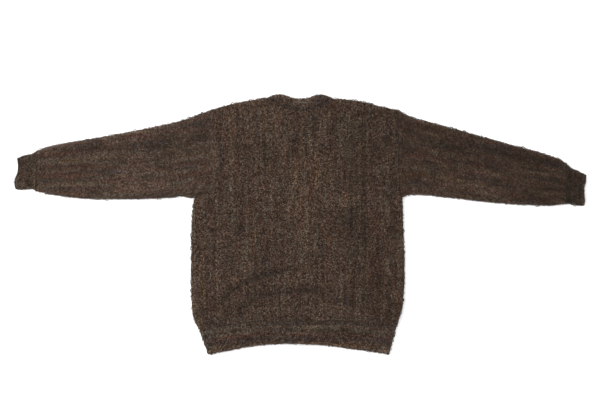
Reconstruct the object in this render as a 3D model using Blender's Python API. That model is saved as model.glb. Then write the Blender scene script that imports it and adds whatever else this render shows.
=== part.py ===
"""A looped-yarn cardigan laid flat on a table with its back up and its sleeves out to the sides.

Metres, +Z up. The origin is on the table under the middle of the garment, +Y is towards the neck, and
the wearer's left is at -X. Every piece is a wall of cloth: the fronts lie on the table and the back
lies on them. The sizes in this file are in millimetres, and MM turns them into metres.
"""

from collections import namedtuple
from math import cos, hypot, pi, radians, sin, sqrt

import bmesh
import bpy

MM = 0.001

# Cloth
WALL = 4.0                # thickness of the looped knit
GAP = 0.3                 # room between two pieces at a seam, and between two layers
BACK_LEVEL = WALL + GAP   # height at which the back lies on the fronts
EDGE_WALL = 1.2           # what is left of the wall at the brink of a rounded edge
TOP_ROUND = 16.0          # reach of the rounding on the upper side of an edge
FLOOR_ROUND = 6.0         # the same on the under side
SEAM_INSET = 5.0          # from the outer edge of a flattened tube to the edge of its hollow
ARMHOLE_GAP = 0.7         # room at the armholes, whose tight curve is made of straight runs
NORMAL_REACH = 5.0        # stretch of an armhole that gives its direction at a point
TUBE_CALM = 4.0           # a sleeve's folds start this far from its edge
TUBE_FULL = 30.0          # and are whole this far from it

# Outlines of the body, from the middle of the garment
Point = namedtuple("Point", "x y")
UNDERARM_LEFT = Point(-289.0, 72.0)
UNDERARM_RIGHT = Point(279.0, 74.0)
SIDE_LEFT = (Point(-275.0, -291.0), Point(-287.0, -268.0), Point(-295.5, -235.0), Point(-298.5, -160.0),
             Point(-298.0, -60.0), Point(-295.5, 20.0), Point(-292.0, 60.0), UNDERARM_LEFT)
SIDE_RIGHT = (Point(262.5, -281.0), Point(273.0, -250.0), Point(281.5, -208.0), Point(285.0, -120.0),
              Point(283.0, -43.0), Point(280.5, 20.0), Point(279.5, 60.0), UNDERARM_RIGHT)
ARMHOLE_LEFT = (Point(-262.0, 81.0), Point(-242.0, 92.0), Point(-232.0, 107.0), Point(-230.0, 135.0),
                Point(-233.0, 180.0), Point(-236.0, 240.0), Point(-236.5, 316.5))
ARMHOLE_RIGHT = (Point(274.0, 84.0), Point(271.5, 98.0), Point(270.5, 115.0), Point(270.5, 150.0),
                 Point(270.0, 190.0), Point(268.0, 250.0), Point(265.5, 313.0))
SHOULDERS = (Point(-236.5, 316.5), Point(-180.0, 331.5), Point(-125.0, 341.7), Point(-92.0, 347.5),
             Point(92.0, 344.5), Point(150.0, 339.0), Point(190.0, 332.0), Point(208.0, 325.5),
             Point(265.5, 313.0))
HEM_SEAM = (Point(-275.0, -291.0), Point(-240.0, -283.5), Point(-185.0, -273.0), Point(-116.0, -267.0),
            Point(0.0, -265.0), Point(95.0, -265.0), Point(165.0, -269.0), Point(262.5, -281.0))
HEM_EDGE = (Point(-252.0, -356.0), Point(-207.0, -346.5), Point(-125.0, -332.5), Point(-42.0, -326.5),
            Point(40.0, -329.0), Point(123.0, -338.0), Point(205.0, -349.5), Point(242.5, -356.5))

# Upper and lower edges of the sleeves from the armhole out, and of the cuffs, with their open ends
SLEEVE_TOP_LEFT = (Point(-290.0, 296.5), Point(-345.0, 279.0), Point(-440.0, 259.0), Point(-550.0, 238.0),
                   Point(-655.0, 220.0), Point(-700.0, 210.0), Point(-722.0, 201.5))
SLEEVE_LOW_LEFT = (Point(-306.0, 73.0), Point(-330.0, 78.0), Point(-360.0, 73.8), Point(-500.0, 69.8),
                   Point(-580.0, 71.0), Point(-660.0, 79.5), Point(-725.0, 91.5))
SLEEVE_TOP_RIGHT = (Point(305.0, 293.5), Point(357.0, 279.5), Point(440.0, 256.5), Point(550.0, 225.3),
                    Point(659.0, 195.4), Point(712.0, 177.5), Point(733.0, 163.5))
SLEEVE_LOW_RIGHT = (Point(300.0, 81.3), Point(330.0, 81.8), Point(384.0, 77.0), Point(500.0, 64.0),
                    Point(605.0, 55.0), Point(690.0, 53.0), Point(729.0, 57.5))
CUFF_TOP_LEFT = (Point(-722.3, 201.4), Point(-738.0, 193.5), Point(-757.0, 189.5), Point(-777.0, 181.5))
CUFF_LOW_LEFT = (Point(-725.3, 91.6), Point(-738.0, 97.5), Point(-760.0, 96.3), Point(-780.5, 96.5))
CUFF_END_LEFT = (Point(-780.5, 96.5), Point(-784.5, 108.0), Point(-783.5, 125.0), Point(-776.0, 143.0),
                 Point(-774.5, 160.0), Point(-777.0, 181.5))
CUFF_TOP_RIGHT = (Point(733.3, 163.3), Point(745.0, 153.5), Point(764.0, 145.0), Point(784.5, 135.5))
CUFF_LOW_RIGHT = (Point(729.3, 57.4), Point(742.0, 56.0), Point(760.0, 52.5), Point(777.0, 51.0))
CUFF_END_RIGHT = (Point(777.0, 51.0), Point(781.0, 67.0), Point(779.5, 82.0), Point(778.5, 97.0),
                  Point(784.0, 122.0), Point(784.5, 135.5))

# Height of a tube's upper side at shares of its length
Crown = namedtuple("Crown", "along height")
SLEEVE_CROWN = (Crown(0.0, 8.3), Crown(0.12, 9.6), Crown(0.4, 10.2), Crown(0.75, 10.6), Crown(0.93, 10.8),
                Crown(1.0, 9.2))
CUFF_CROWN = (Crown(0.0, 9.0), Crown(0.3, 8.6), Crown(0.7, 8.9), Crown(1.0, 8.4))

# Neck
NECK_HALF = 91.5          # from the middle to where the neck meets a shoulder
NECK_TIP = 87.5           # from the middle to an end of the neckband
NECK_SEAM_Y = 313.5       # lowest point of the seam under the neckband
NECK_SEAM_POWER = 2.2     # how late that seam climbs to its ends
NECK_EDGE_Y = 344.2       # upper edge of the neckband behind the neck
NECK_EDGE_RISE = 3.3      # how far that edge has climbed where the humps begin
NECK_LOW_HALF = 4.0       # half the width of that edge's lowest stretch
NECK_CLIMB_HALF = 28.0    # from the middle to where that climb ends
NECK_LEVEL_HALF = 30.0    # from the middle to where the edge starts down to the shoulders
NECKBAND_ROUND = 11.2     # reach of the rounding on the neckband's upper edge
HUMP_OFFSET = 57.0        # the band turns over this far from the middle
HUMP_RISE = 9.0
HUMP_HALF = 33.0
HUMP_POWER = 1.2          # how softly a hump ends
HUMP_ROLL = 1.6           # added thickness of the band where it turns over

# Front opening
BAND_HALF = 16.0          # half the width of a front band
BAND_TOP_HALF = 24.0      # the same where it turns over at the shoulder
BAND_X = -4.0             # middle of the closed front
BAND_LEAN = 63.0          # how far a band has moved from the middle at the neck
BAND_LEAN_POWER = 1.12    # how late it moves
BAND_WIDEN_Y = 240.0      # above this a band grows wider
V_BOTTOM_Y = 70.0         # where the bands start to part
V_TOP_Y = 345.0
PARTED_Y = 158.0          # above this the bands no longer cross
LEVEL_Y = 215.0           # above this both of them lie on the table
BAND_PLATEAU = 19.0       # half the width over which the upper band is lifted
RAMP = 16.0               # run over which cloth climbs on to the crossed bands
BACK_PLATEAU = 21.5       # the same two for the back, which bridges the step more loosely
BACK_RAMP = 52.0
BACK_LATE_Y = 18.0        # how much later the back comes down above the crossing
V_SAG = 3.0               # how far the back sinks into the open V
V_SAG_START = 10.0        # from a band's inner edge to where it starts to sink
V_SAG_RUN = 18.0
V_DEEP_Y = 285.0          # above this it has sunk all the way

# Hem band, and the blousing of the back above it
HEM_ROUND = 8.0           # reach of the rounding on the band's upper side
BLOUSE = 2.4
BLOUSE_RISE = 24.0        # it is whole this far above the seam
BLOUSE_HOLD = 48.0        # it starts to fade this far above it
BLOUSE_FADE = 120.0       # and is gone this far above it

# Buttons
BUTTON_COUNT = 5
BUTTON_RADIUS = 11.0
BUTTON_THICK = 2.4
BUTTON_FIRST_Y = -294.0
BUTTON_LAST_Y = 54.0
BUTTON_SIDES = 20
HOLE_RADIUS = 1.1
HOLE_OFFSET = 2.6
HOLE_SIDES = 6
CUT_PAST = 1.0            # how far a cutter reaches past what it cuts

# Folds: ridges of cloth, each over three points along its crest. On the left of that line a ridge falls
# away over its gentle reach, and on the right over its steep one.
Fold = namedtuple("Fold", "start top end gentle steep height")
BACK_FOLDS = (
    Fold(Point(-227.0, -205.0), Point(-144.0, -144.0), Point(-45.0, -113.0), 32.0, 18.0, 5.4),
    Fold(Point(-181.0, -232.0), Point(-24.0, -170.0), Point(143.0, -212.0), 28.0, 17.0, 5.0),
    Fold(Point(-246.0, -262.0), Point(-20.0, -228.0), Point(238.0, -254.0), 19.0, 21.0, 2.6),
    Fold(Point(232.0, -262.0), Point(248.0, -222.0), Point(256.0, -186.0), 20.0, 14.0, 3.2),
    Fold(Point(-278.0, -212.0), Point(-268.0, -244.0), Point(-236.0, -276.0), 14.0, 14.0, 3.0),
    Fold(Point(52.0, -40.0), Point(128.0, -64.0), Point(222.0, -42.0), 30.0, 24.0, 2.4),
    Fold(Point(-272.0, 66.0), Point(-216.0, 122.0), Point(-160.0, 214.0), 28.0, 24.0, 2.8),
    Fold(Point(190.0, 206.0), Point(226.0, 118.0), Point(262.0, 66.0), 28.0, 24.0, 2.8),
    Fold(Point(-92.0, 312.0), Point(-62.0, 240.0), Point(-30.0, 160.0), 20.0, 20.0, 2.0),
    Fold(Point(88.0, 312.0), Point(60.0, 236.0), Point(30.0, 160.0), 20.0, 20.0, 2.2),
)
SLEEVE_FOLDS_LEFT = (
    Fold(Point(-640.0, 158.0), Point(-420.0, 172.0), Point(-290.0, 160.0), 28.0, 26.0, 2.0),
    Fold(Point(-380.0, 100.0), Point(-310.0, 114.0), Point(-250.0, 116.0), 26.0, 22.0, 1.8),
)
SLEEVE_FOLDS_RIGHT = (
    Fold(Point(290.0, 176.0), Point(430.0, 156.0), Point(630.0, 122.0), 28.0, 26.0, 2.0),
    Fold(Point(286.0, 108.0), Point(340.0, 118.0), Point(410.0, 108.0), 26.0, 22.0, 1.8),
)
FOLD_SAMPLES = 16

# Grids: where the rows and columns of each piece run
ARMHOLE_STEPS = (0.0, 3.0, 9.0, 20.0, 35.0, 60.0, 90.0, 125.0, 160.0, 190.0, 214.0, 230.0, 239.5, 244.5)
SLEEVE_STATIONS = (0.0, 0.03, 0.07, 0.12, 0.19, 0.27, 0.35, 0.43, 0.51, 0.59, 0.67, 0.75, 0.83, 0.9, 0.95,
                   1.0)
CUFF_STATIONS = (0.0, 0.3, 0.65, 1.0)
MIDDLE_COLUMNS = (-91.5, -80.0, -69.0, -58.0, -47.0, -36.0, -25.5, -12.0, 4.0, 17.5, 27.0, 36.0, 47.0,
                  58.0, 69.0, 80.0, 91.5)
SIDE_COLUMNS = 12
FRONT_COLUMNS = 9
RAMP_COLUMNS = (0.0, 7.0, 14.0, 21.0)
BAND_COLUMNS = 3
HEM_ROWS = 4
NECKBAND_ROWS = 4
FOLDED_SHARE = 0.5        # how much of the height from the hem seam to the underarms has folds
FOLD_ROWS = 17            # rows of the back over that share
CALM_ROWS = 5             # rows of a panel over the rest
FRONT_ROWS = 7
ROW_ROUNDS = 8            # rounds that settle where a slanted row meets the front band
UNDERARM_RUN = 200.0      # half the run over which a row evens out the two underarms

BODY_COLOR = (0.062, 0.042, 0.031)
SLEEVE_COLOR = (0.056, 0.038, 0.030)
RIB_COLOR = (0.050, 0.034, 0.028)
BUTTON_COLOR = (0.030, 0.018, 0.012)
KNIT_ROUGHNESS = 0.95
BUTTON_ROUGHNESS = 0.35
SHARP_DEGREES = 50.0      # edges between faces that turn more than this are sharp


def blend(a, b, share):
    """The value that lies this share of the way from one to another."""
    return a + (b - a) * share


def smooth(value, start, end):
    """0 before the start, 1 after the end and a soft step between them."""
    share = min(1.0, max(0.0, (value - start) / (end - start)))
    return share * share * (3.0 - 2.0 * share)


def round_off(distance, reach):
    """Share of full height that a rounded edge has at this distance from its brink."""
    share = min(1.0, max(0.0, distance / reach))
    return sqrt(1.0 - (1.0 - share) ** 2)


def bump(distance, half_width):
    """1 at a distance of 0, falling softly to 0 at the half width."""
    return 0.5 + 0.5 * cos(pi * min(1.0, abs(distance) / half_width))


def curve(keys, values, at):
    """Smooth curve through values at rising or falling keys, which never swings past a value."""
    if keys[0] > keys[-1]:
        keys, values = keys[::-1], values[::-1]
    at = min(keys[-1], max(keys[0], at))
    i = 0
    while i < len(keys) - 2 and at > keys[i + 1]:
        i += 1
    slopes = [(values[k + 1] - values[k]) / (keys[k + 1] - keys[k]) for k in range(len(keys) - 1)]

    def tangent(k):
        if k in (0, len(keys) - 1):
            return slopes[min(k, len(slopes) - 1)]
        before, after = slopes[k - 1], slopes[k]
        return 0.0 if before * after <= 0.0 else 2.0 * before * after / (before + after)

    span = keys[i + 1] - keys[i]
    t = (at - keys[i]) / span
    first = values[i] * (1.0 + 2.0 * t) * (1.0 - t) ** 2 + tangent(i) * span * t * (1.0 - t) ** 2
    second = values[i + 1] * t * t * (3.0 - 2.0 * t) + tangent(i + 1) * span * t * t * (t - 1.0)
    return first + second


def y_at(outline, x):
    """Read an outline that runs from side to side."""
    return curve([p.x for p in outline], [p.y for p in outline], x)


def x_at(outline, y):
    """Read an outline that runs up and down."""
    return curve([p.y for p in outline], [p.x for p in outline], y)


def height_at(crown, share):
    return curve([row.along for row in crown], [row.height for row in crown], share)


def along(outline, share):
    """Point at a share of an outline's length."""
    lengths = [0.0]
    for a, b in zip(outline, outline[1:]):
        lengths.append(lengths[-1] + hypot(b.x - a.x, b.y - a.y))
    at = share * lengths[-1]
    return Point(curve(lengths, [p.x for p in outline], at), curve(lengths, [p.y for p in outline], at))


def side_left(y):
    return x_at(SIDE_LEFT + ARMHOLE_LEFT, y)


def side_right(y):
    return x_at(SIDE_RIGHT + ARMHOLE_RIGHT, y)


def shoulder(x):
    """Line of the shoulders, carried on across the neck."""
    return y_at(SHOULDERS, x)


def neck_seam(x):
    """Seam between the back and the neckband, which ends on the shoulders."""
    share = min(1.0, abs(x) / NECK_HALF)
    return blend(NECK_SEAM_Y, shoulder(NECK_HALF if x > 0 else -NECK_HALF), share ** NECK_SEAM_POWER)


def neck_edge(x):
    """Upper edge of the neckband, with a hump on each side where it turns over."""
    level = NECK_EDGE_Y + NECK_EDGE_RISE * smooth(abs(x), NECK_LOW_HALF, NECK_CLIMB_HALF)
    level = blend(level, shoulder(x), smooth(abs(x), NECK_LEVEL_HALF, NECK_HALF))
    reach = min(1.0, abs(abs(x) - HUMP_OFFSET) / HUMP_HALF)
    return level + HUMP_RISE * (1.0 - reach ** 2) ** HUMP_POWER


def band_share(y):
    return min(1.0, max(0.0, (y - V_BOTTOM_Y) / (V_TOP_Y - V_BOTTOM_Y)))


def band_middle(side, y):
    """Middle of a front band: both run up the front and part to the two shoulders."""
    share = band_share(y)
    return blend(BAND_X, 0.0, share) + side * BAND_LEAN * share ** BAND_LEAN_POWER


def band_half(y):
    return blend(BAND_HALF, BAND_TOP_HALF, smooth(y, BAND_WIDEN_Y, V_TOP_Y))


def crossing(x, y, plateau=BAND_PLATEAU, ramp=RAMP, late=0.0):
    """How far cloth is lifted by the band on the table where the two front bands cross."""
    beside = 1.0 - smooth(abs(x - BAND_X), plateau, plateau + ramp)
    return BACK_LEVEL * beside * (1.0 - smooth(y, PARTED_Y + late, LEVEL_Y + late))


def sag(x, y):
    """Depth to which the back sinks between the parted bands."""
    inside = min(band_middle(1, y) - band_half(y) - x, x - band_middle(-1, y) - band_half(y))
    depth = V_SAG * smooth(inside - V_SAG_START, 0.0, V_SAG_RUN)
    return depth * smooth(y, LEVEL_Y + BACK_LATE_Y, V_DEEP_Y)


def crest_of(fold):
    """Points along a ridge's crest."""
    pull = [2.0 * fold.top[k] - 0.5 * (fold.start[k] + fold.end[k]) for k in (0, 1)]
    points = []
    for step in range(FOLD_SAMPLES + 1):
        t = step / FOLD_SAMPLES
        points.append(Point(*(fold.start[k] * (1 - t) ** 2 + 2 * pull[k] * t * (1 - t) + fold.end[k] * t * t
                              for k in (0, 1))))
    return points


def fold_lift(folds, x, y):
    """Lift of the cloth over its ridges."""
    total = 0.0
    for fold in folds:
        crest = crest_of(fold)
        distance, k = min((hypot(x - point.x, y - point.y), k) for k, point in enumerate(crest))
        before, after = crest[max(0, k - 1)], crest[min(FOLD_SAMPLES, k + 1)]
        off_x, off_y = x - crest[k].x, y - crest[k].y
        on_left = (after.x - before.x) * off_y - (after.y - before.y) * off_x > 0.0
        fade = sqrt(max(0.0, sin(pi * k / FOLD_SAMPLES)))
        total += fold.height * fade * bump(distance, fold.gentle if on_left else fold.steep)
    return total


def blouse(x, y):
    """Lift of the back where it bags out over the hem band."""
    above = y - y_at(HEM_SEAM, x)
    return BLOUSE * smooth(above, 0.0, BLOUSE_RISE) * (1.0 - smooth(above, BLOUSE_HOLD, BLOUSE_FADE))


def back_floor(x, y):
    """Under side of the top layer: on the fronts, over the crossed bands and into the V."""
    lift = crossing(x, y, BACK_PLATEAU, BACK_RAMP, BACK_LATE_Y)
    lift += fold_lift(BACK_FOLDS, x, y) + blouse(x, y)
    return BACK_LEVEL + lift - sag(x, y)


def free_edge(x, y):
    """Distance to the nearest edge where the body turns over: a side or a shoulder."""
    reach = shoulder(x) - y if abs(x) > NECK_HALF else TOP_ROUND
    if y < UNDERARM_LEFT.y:
        reach = min(reach, x - side_left(y), side_right(y) - x)
    return max(0.0, reach)


def hem_edge(x, y):
    """Distance to the nearest free edge of the hem band."""
    share = (y - HEM_EDGE[0].y) / (HEM_SEAM[0].y - HEM_EDGE[0].y)
    left = blend(HEM_EDGE[0].x, HEM_SEAM[0].x, share)
    right = blend(HEM_EDGE[-1].x, HEM_SEAM[-1].x, share)
    return max(0.0, min(x - left, right - x, y - y_at(HEM_EDGE, x)))


def top_wall(edge, reach=TOP_ROUND):
    """Thickness of a top layer at a distance from its free edge."""
    return blend(EDGE_WALL, WALL, round_off(edge, reach))


def table_side(edge):
    """Under side of a bottom layer, which lies flat on the table and turns up at its free edge."""
    return WALL - blend(EDGE_WALL, WALL, round_off(edge, FLOOR_ROUND))


def collection(name):
    made = bpy.data.collections.new(name)
    bpy.context.scene.collection.children.link(made)
    return made


def material(name, color, roughness):
    made = bpy.data.materials.new(name)
    made.use_nodes = True
    shader = made.node_tree.nodes["Principled BSDF"]
    shader.inputs["Base Color"].default_value = (*color, 1.0)
    shader.inputs["Roughness"].default_value = roughness
    shader.inputs["Metallic"].default_value = 0.0
    return made


def add_cloth(name, corners, faces, finish, home):
    """An object from corners in millimetres, with its faces turned outwards."""
    mesh = bpy.data.meshes.new(name)
    mesh.from_pydata([tuple(value * MM for value in corner) for corner in corners], [], faces)
    work = bmesh.new()
    work.from_mesh(mesh)
    bmesh.ops.recalc_face_normals(work, faces=work.faces)
    work.to_mesh(mesh)
    work.free()
    mesh.shade_smooth()
    mesh.set_sharp_from_angle(angle=radians(SHARP_DEGREES))
    mesh.materials.append(finish)
    made = bpy.data.objects.new(name, mesh)
    home.objects.link(made)
    return made


def slab(name, plan, floor, wall, finish, home):
    """A panel: a wall over a grid of plan points, standing on its floor."""
    rows, columns = len(plan), len(plan[0])
    under = [(x, y, floor(x, y)) for row in plan for x, y in row]
    upper = [(x, y, z + wall(x, y)) for x, y, z in under]

    def corner(layer, i, j):
        return (layer * rows + i) * columns + j

    faces = []
    for i in range(rows - 1):
        for j in range(columns - 1):
            for layer in (0, 1):
                faces.append([corner(layer, i, j), corner(layer, i, j + 1),
                              corner(layer, i + 1, j + 1), corner(layer, i + 1, j)])
    rim = [(0, j) for j in range(columns)] + [(i, columns - 1) for i in range(1, rows)]
    rim += [(rows - 1, j) for j in range(columns - 2, -1, -1)] + [(i, 0) for i in range(rows - 2, 0, -1)]
    for a, b in zip(rim, rim[1:] + rim[:1]):
        faces.append([corner(0, *a), corner(0, *b), corner(1, *b), corner(1, *a)])
    return add_cloth(name, under + upper, faces, finish, home)


def patch(low, high, start, end):
    """A surface spanned by four edges: along from start to end, across from low to high."""
    corners = (low(0.0), low(1.0), high(0.0), high(1.0))

    def at(share, across):
        point = []
        for k in (0, 1):
            crossways = blend(low(share)[k], high(share)[k], across)
            lengthways = blend(start(across)[k], end(across)[k], share)
            near = blend(corners[0][k], corners[1][k], share)
            far = blend(corners[2][k], corners[3][k], share)
            point.append(crossways + lengthways - blend(near, far, across))
        return point

    return at


def tube_section(at, station, shares, top, folds):
    """Outer and inner ring of a flattened tube at one station."""
    ground = [at(station, share) for share in shares]
    span = hypot(ground[-1][0] - ground[0][0], ground[-1][1] - ground[0][1])
    middle = WALL + GAP / 2

    def sides(share):
        """Plan point on the straight runs between the shares, and both sides of the tube there."""
        k = max(i for i in range(len(shares) - 1) if shares[i] <= share)
        within = (share - shares[k]) / (shares[k + 1] - shares[k])
        x, y = (blend(ground[k][axis], ground[k + 1][axis], within) for axis in (0, 1))
        edge = min(share, 1.0 - share) * span
        lift = fold_lift(folds, x, y) * smooth(edge, TUBE_CALM, TUBE_FULL)
        upper = blend(middle, top + lift, round_off(edge, TOP_ROUND))
        return x, y, upper, blend(middle, 0.0, round_off(edge, FLOOR_ROUND))

    inset = SEAM_INSET / span
    upper, under, hollow_top, hollow_floor = [], [], [], []
    for share in shares:
        x, y, z_top, z_floor = sides(share)
        upper.append((x, y, z_top))
        under.append((x, y, z_floor))
        x, y, z_top, z_floor = sides(blend(inset, 1.0 - inset, share))
        ends = share in (shares[0], shares[-1])
        hollow_top.append((x, y, middle if ends else max(z_top - WALL, middle + GAP / 2)))
        hollow_floor.append((x, y, min(z_floor + WALL, middle - GAP / 2)))
    return upper + under[-2:0:-1], hollow_top + hollow_floor[-2:0:-1]


def tube(name, at, stations, shares, crown, folds, finish, home):
    """A sleeve or cuff laid flat: rings joined from end to end, outside and inside."""
    sections = [tube_section(at, s, shares, height_at(crown, s), folds) for s in stations]
    ring = len(sections[0][0])
    count = len(sections)
    corners = [point for layer in (0, 1) for section in sections for point in section[layer]]

    def corner(layer, s, k):
        return (layer * count + s) * ring + k % ring

    faces = []
    for k in range(ring):
        for s in range(count - 1):
            for layer in (0, 1):
                faces.append([corner(layer, s, k), corner(layer, s, k + 1),
                              corner(layer, s + 1, k + 1), corner(layer, s + 1, k)])
        for s in (0, count - 1):
            faces.append([corner(0, s, k), corner(0, s, k + 1), corner(1, s, k + 1), corner(1, s, k)])
    return add_cloth(name, corners, faces, finish, home)


def underarm_line(x):
    """Height of the row that joins the two underarms."""
    return blend(UNDERARM_LEFT.y, UNDERARM_RIGHT.y, smooth(x, -UNDERARM_RUN, UNDERARM_RUN))


def armhole_shares():
    return [step / ARMHOLE_STEPS[-1] for step in ARMHOLE_STEPS]


def body_rows(folded, calm, top_edge):
    """Rows of a body panel, each as its two side points and its height over any place between them."""
    def lower(share):
        return lambda x: blend(y_at(HEM_SEAM, x) + GAP, underarm_line(x), share)

    def upper(share):
        return lambda x: blend(underarm_line(x), top_edge(x), share)

    shares = [FOLDED_SHARE * k / folded for k in range(folded)]
    shares += [blend(FOLDED_SHARE, 1.0, k / calm) for k in range(calm)]
    rows = []
    for height in [lower(share) for share in shares] + [upper(share) for share in armhole_shares()]:
        left_y, right_y = height(SIDE_LEFT[0].x), height(SIDE_RIGHT[0].x)
        rows.append((side_left(left_y), side_right(right_y), height))
    return rows


def back_top(x):
    """Upper end of the back: the shoulders, and between them the seam under the neckband."""
    return neck_seam(x) - GAP if abs(x) <= NECK_HALF else shoulder(x)


def make_back(finish, home):
    """One panel from the hem seam to the shoulders. Its plan is given back for its neighbours."""
    plan = []
    for left, right, height in body_rows(FOLD_ROWS, CALM_ROWS, back_top):
        places = [blend(left, MIDDLE_COLUMNS[0], k / SIDE_COLUMNS) for k in range(SIDE_COLUMNS)]
        places += MIDDLE_COLUMNS
        places += [blend(MIDDLE_COLUMNS[-1], right, (k + 1) / SIDE_COLUMNS) for k in range(SIDE_COLUMNS)]
        plan.append([(x, height(x)) for x in places])
    slab("back", plan, back_floor, lambda x, y: top_wall(free_edge(x, y)), finish, home)
    return plan


def front_inner(side, y):
    """Edge of a front panel along its band."""
    return band_middle(side, y) + side * (band_half(y) + GAP)


def make_front(side, finish, home):
    """A front panel on the table. Where it meets the upper band it climbs to it."""
    ramp = RAMP_COLUMNS if side > 0 else RAMP_COLUMNS[:1]
    plan = []
    for left, right, height in body_rows(FRONT_ROWS, CALM_ROWS, shoulder):
        outer = right if side > 0 else left
        inner = front_inner(side, 0.0)
        for _ in range(ROW_ROUNDS):
            inner = front_inner(side, height(inner))
        near = [inner + side * step for step in ramp]
        places = near + [blend(near[-1], outer, (k + 1) / FRONT_COLUMNS) for k in range(FRONT_COLUMNS)]
        plan.append([(x, height(x)) for x in places[::side]])
    name = "front_right" if side > 0 else "front_left"
    slab(name, plan, lambda x, y: front_floor(side, x, y, free_edge(x, y)),
         lambda x, y: front_wall(free_edge(x, y)), finish, home)
    return plan


def front_floor(side, x, y, edge):
    """Under side of a bottom layer. The wearer's right side climbs on to the left band."""
    return table_side(edge) + (crossing(x, y) if side > 0 else 0.0)


def front_wall(edge):
    return WALL - table_side(edge)


def make_band(side, front_plan, hem_plan, finish, home):
    """A front band from the hem edge to the shoulder, beside its front and hem panels."""
    column = 0 if side > 0 else -1
    levels = [row[column][1] for row in hem_plan[:-1]] + [row[column][1] for row in front_plan]
    plan = []
    for y in levels:
        middle, half = band_middle(side, y), band_half(y)
        row = [middle + half * blend(-1.0, 1.0, k / BAND_COLUMNS) for k in range(BAND_COLUMNS + 1)]
        plan.append([(x, y) for x in row])
    hem = [(x, y_at(HEM_EDGE, x)) for x, _ in plan[0]]
    top = [(x, neck_edge(x) - GAP) for x, _ in plan[-1]]
    plan = [hem] + plan[1:-1] + [top]

    def edge(x, y):
        return max(0.0, min(y - y_at(HEM_EDGE, x), neck_edge(x) - GAP - y))

    name = "front_band_right" if side > 0 else "front_band_left"
    return slab(name, plan, lambda x, y: front_floor(side, x, y, edge(x, y)),
                lambda x, y: front_wall(edge(x, y)), finish, home)


def hem_rows(top_row, keep):
    """Plan of a run of the hem band under a panel's lowest row, drawn in except near one place."""
    low, high = keep
    plan = []
    for i in range(HEM_ROWS + 1):
        across = i / HEM_ROWS
        row = []
        for x, y in top_row:
            foot = x
            if x < low:
                foot = low - (low - x) * (low - HEM_EDGE[0].x) / (low - HEM_SEAM[0].x)
            elif x > high:
                foot = high + (x - high) * (HEM_EDGE[-1].x - high) / (HEM_SEAM[-1].x - high)
            row.append((blend(foot, x, across), blend(y_at(HEM_EDGE, foot), y - 2 * GAP, across)))
        plan.append(row)
    return plan


def make_hem_back(back_plan, finish, home):
    plan = hem_rows(back_plan[0], (MIDDLE_COLUMNS[0], MIDDLE_COLUMNS[-1]))
    slab("hem_back", plan, back_floor, lambda x, y: top_wall(hem_edge(x, y), HEM_ROUND), finish, home)


def make_hem_front(side, front_plan, finish, home):
    inner = front_inner(side, HEM_EDGE[0].y)
    plan = hem_rows(front_plan[0], (inner, inner))
    name = "hem_front_right" if side > 0 else "hem_front_left"
    slab(name, plan, lambda x, y: front_floor(side, x, y, hem_edge(x, y)),
         lambda x, y: front_wall(hem_edge(x, y)), finish, home)
    return plan


def make_neckband(finish, home):
    """The strip behind the neck, which ends where it turns over at the shoulders."""
    places = [-NECK_TIP] + [x for x in MIDDLE_COLUMNS if abs(x) < NECK_TIP] + [NECK_TIP]
    plan = [[(x, blend(neck_seam(x), neck_edge(x), k / NECKBAND_ROWS)) for x in places]
            for k in range(NECKBAND_ROWS + 1)]

    def wall(x, y):
        roll = HUMP_ROLL * bump(abs(x) - HUMP_OFFSET, HUMP_HALF)
        return blend(EDGE_WALL, WALL + roll, round_off(neck_edge(x) - y, NECKBAND_ROUND))

    slab("neckband", plan, back_floor, wall, finish, home)


def armhole(side):
    """Edge of a sleeve along its armhole, just outside the body's edge."""
    edge = side_right if side > 0 else side_left
    under = UNDERARM_RIGHT if side > 0 else UNDERARM_LEFT
    tip = SHOULDERS[-1] if side > 0 else SHOULDERS[0]

    def at(share):
        y = blend(under.y, tip.y, share)
        above, below = min(tip.y, y + NORMAL_REACH), max(under.y, y - NORMAL_REACH)
        run, rise = edge(above) - edge(below), above - below
        length = hypot(run, rise)
        return Point(edge(y) + side * ARMHOLE_GAP * rise / length,
                     y - side * ARMHOLE_GAP * run / length)

    return at


def make_sleeve(side, finish, home):
    start = armhole(side)
    tops = SLEEVE_TOP_RIGHT if side > 0 else SLEEVE_TOP_LEFT
    lows = SLEEVE_LOW_RIGHT if side > 0 else SLEEVE_LOW_LEFT
    low_edge = (start(0.0),) + lows
    top_edge = (start(1.0),) + tops
    at = patch(lambda s: along(low_edge, s), lambda s: along(top_edge, s), start,
               lambda c: Point(blend(lows[-1].x, tops[-1].x, c), blend(lows[-1].y, tops[-1].y, c)))
    name = "sleeve_right" if side > 0 else "sleeve_left"
    folds = SLEEVE_FOLDS_RIGHT if side > 0 else SLEEVE_FOLDS_LEFT
    tube(name, at, SLEEVE_STATIONS, armhole_shares(), SLEEVE_CROWN, folds, finish, home)


def make_cuff(side, finish, home):
    tops = CUFF_TOP_RIGHT if side > 0 else CUFF_TOP_LEFT
    lows = CUFF_LOW_RIGHT if side > 0 else CUFF_LOW_LEFT
    mouth = CUFF_END_RIGHT if side > 0 else CUFF_END_LEFT
    at = patch(lambda s: along(lows, s), lambda s: along(tops, s),
               lambda c: Point(blend(lows[0].x, tops[0].x, c), blend(lows[0].y, tops[0].y, c)),
               lambda c: along(mouth, c))
    name = "cuff_right" if side > 0 else "cuff_left"
    tube(name, at, CUFF_STATIONS, armhole_shares(), CUFF_CROWN, (), finish, home)


def cylinder(name, radius, low, high, place, sides, home):
    """An upright cylinder between two heights, in millimetres."""
    mesh = bpy.data.meshes.new(name)
    work = bmesh.new()
    bmesh.ops.create_cone(work, cap_ends=True, segments=sides, radius1=radius * MM, radius2=radius * MM,
                          depth=(high - low) * MM)
    work.to_mesh(mesh)
    work.free()
    made = bpy.data.objects.new(name, mesh)
    made.location = (place.x * MM, place.y * MM, (low + high) / 2 * MM)
    home.objects.link(made)
    return made


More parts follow.
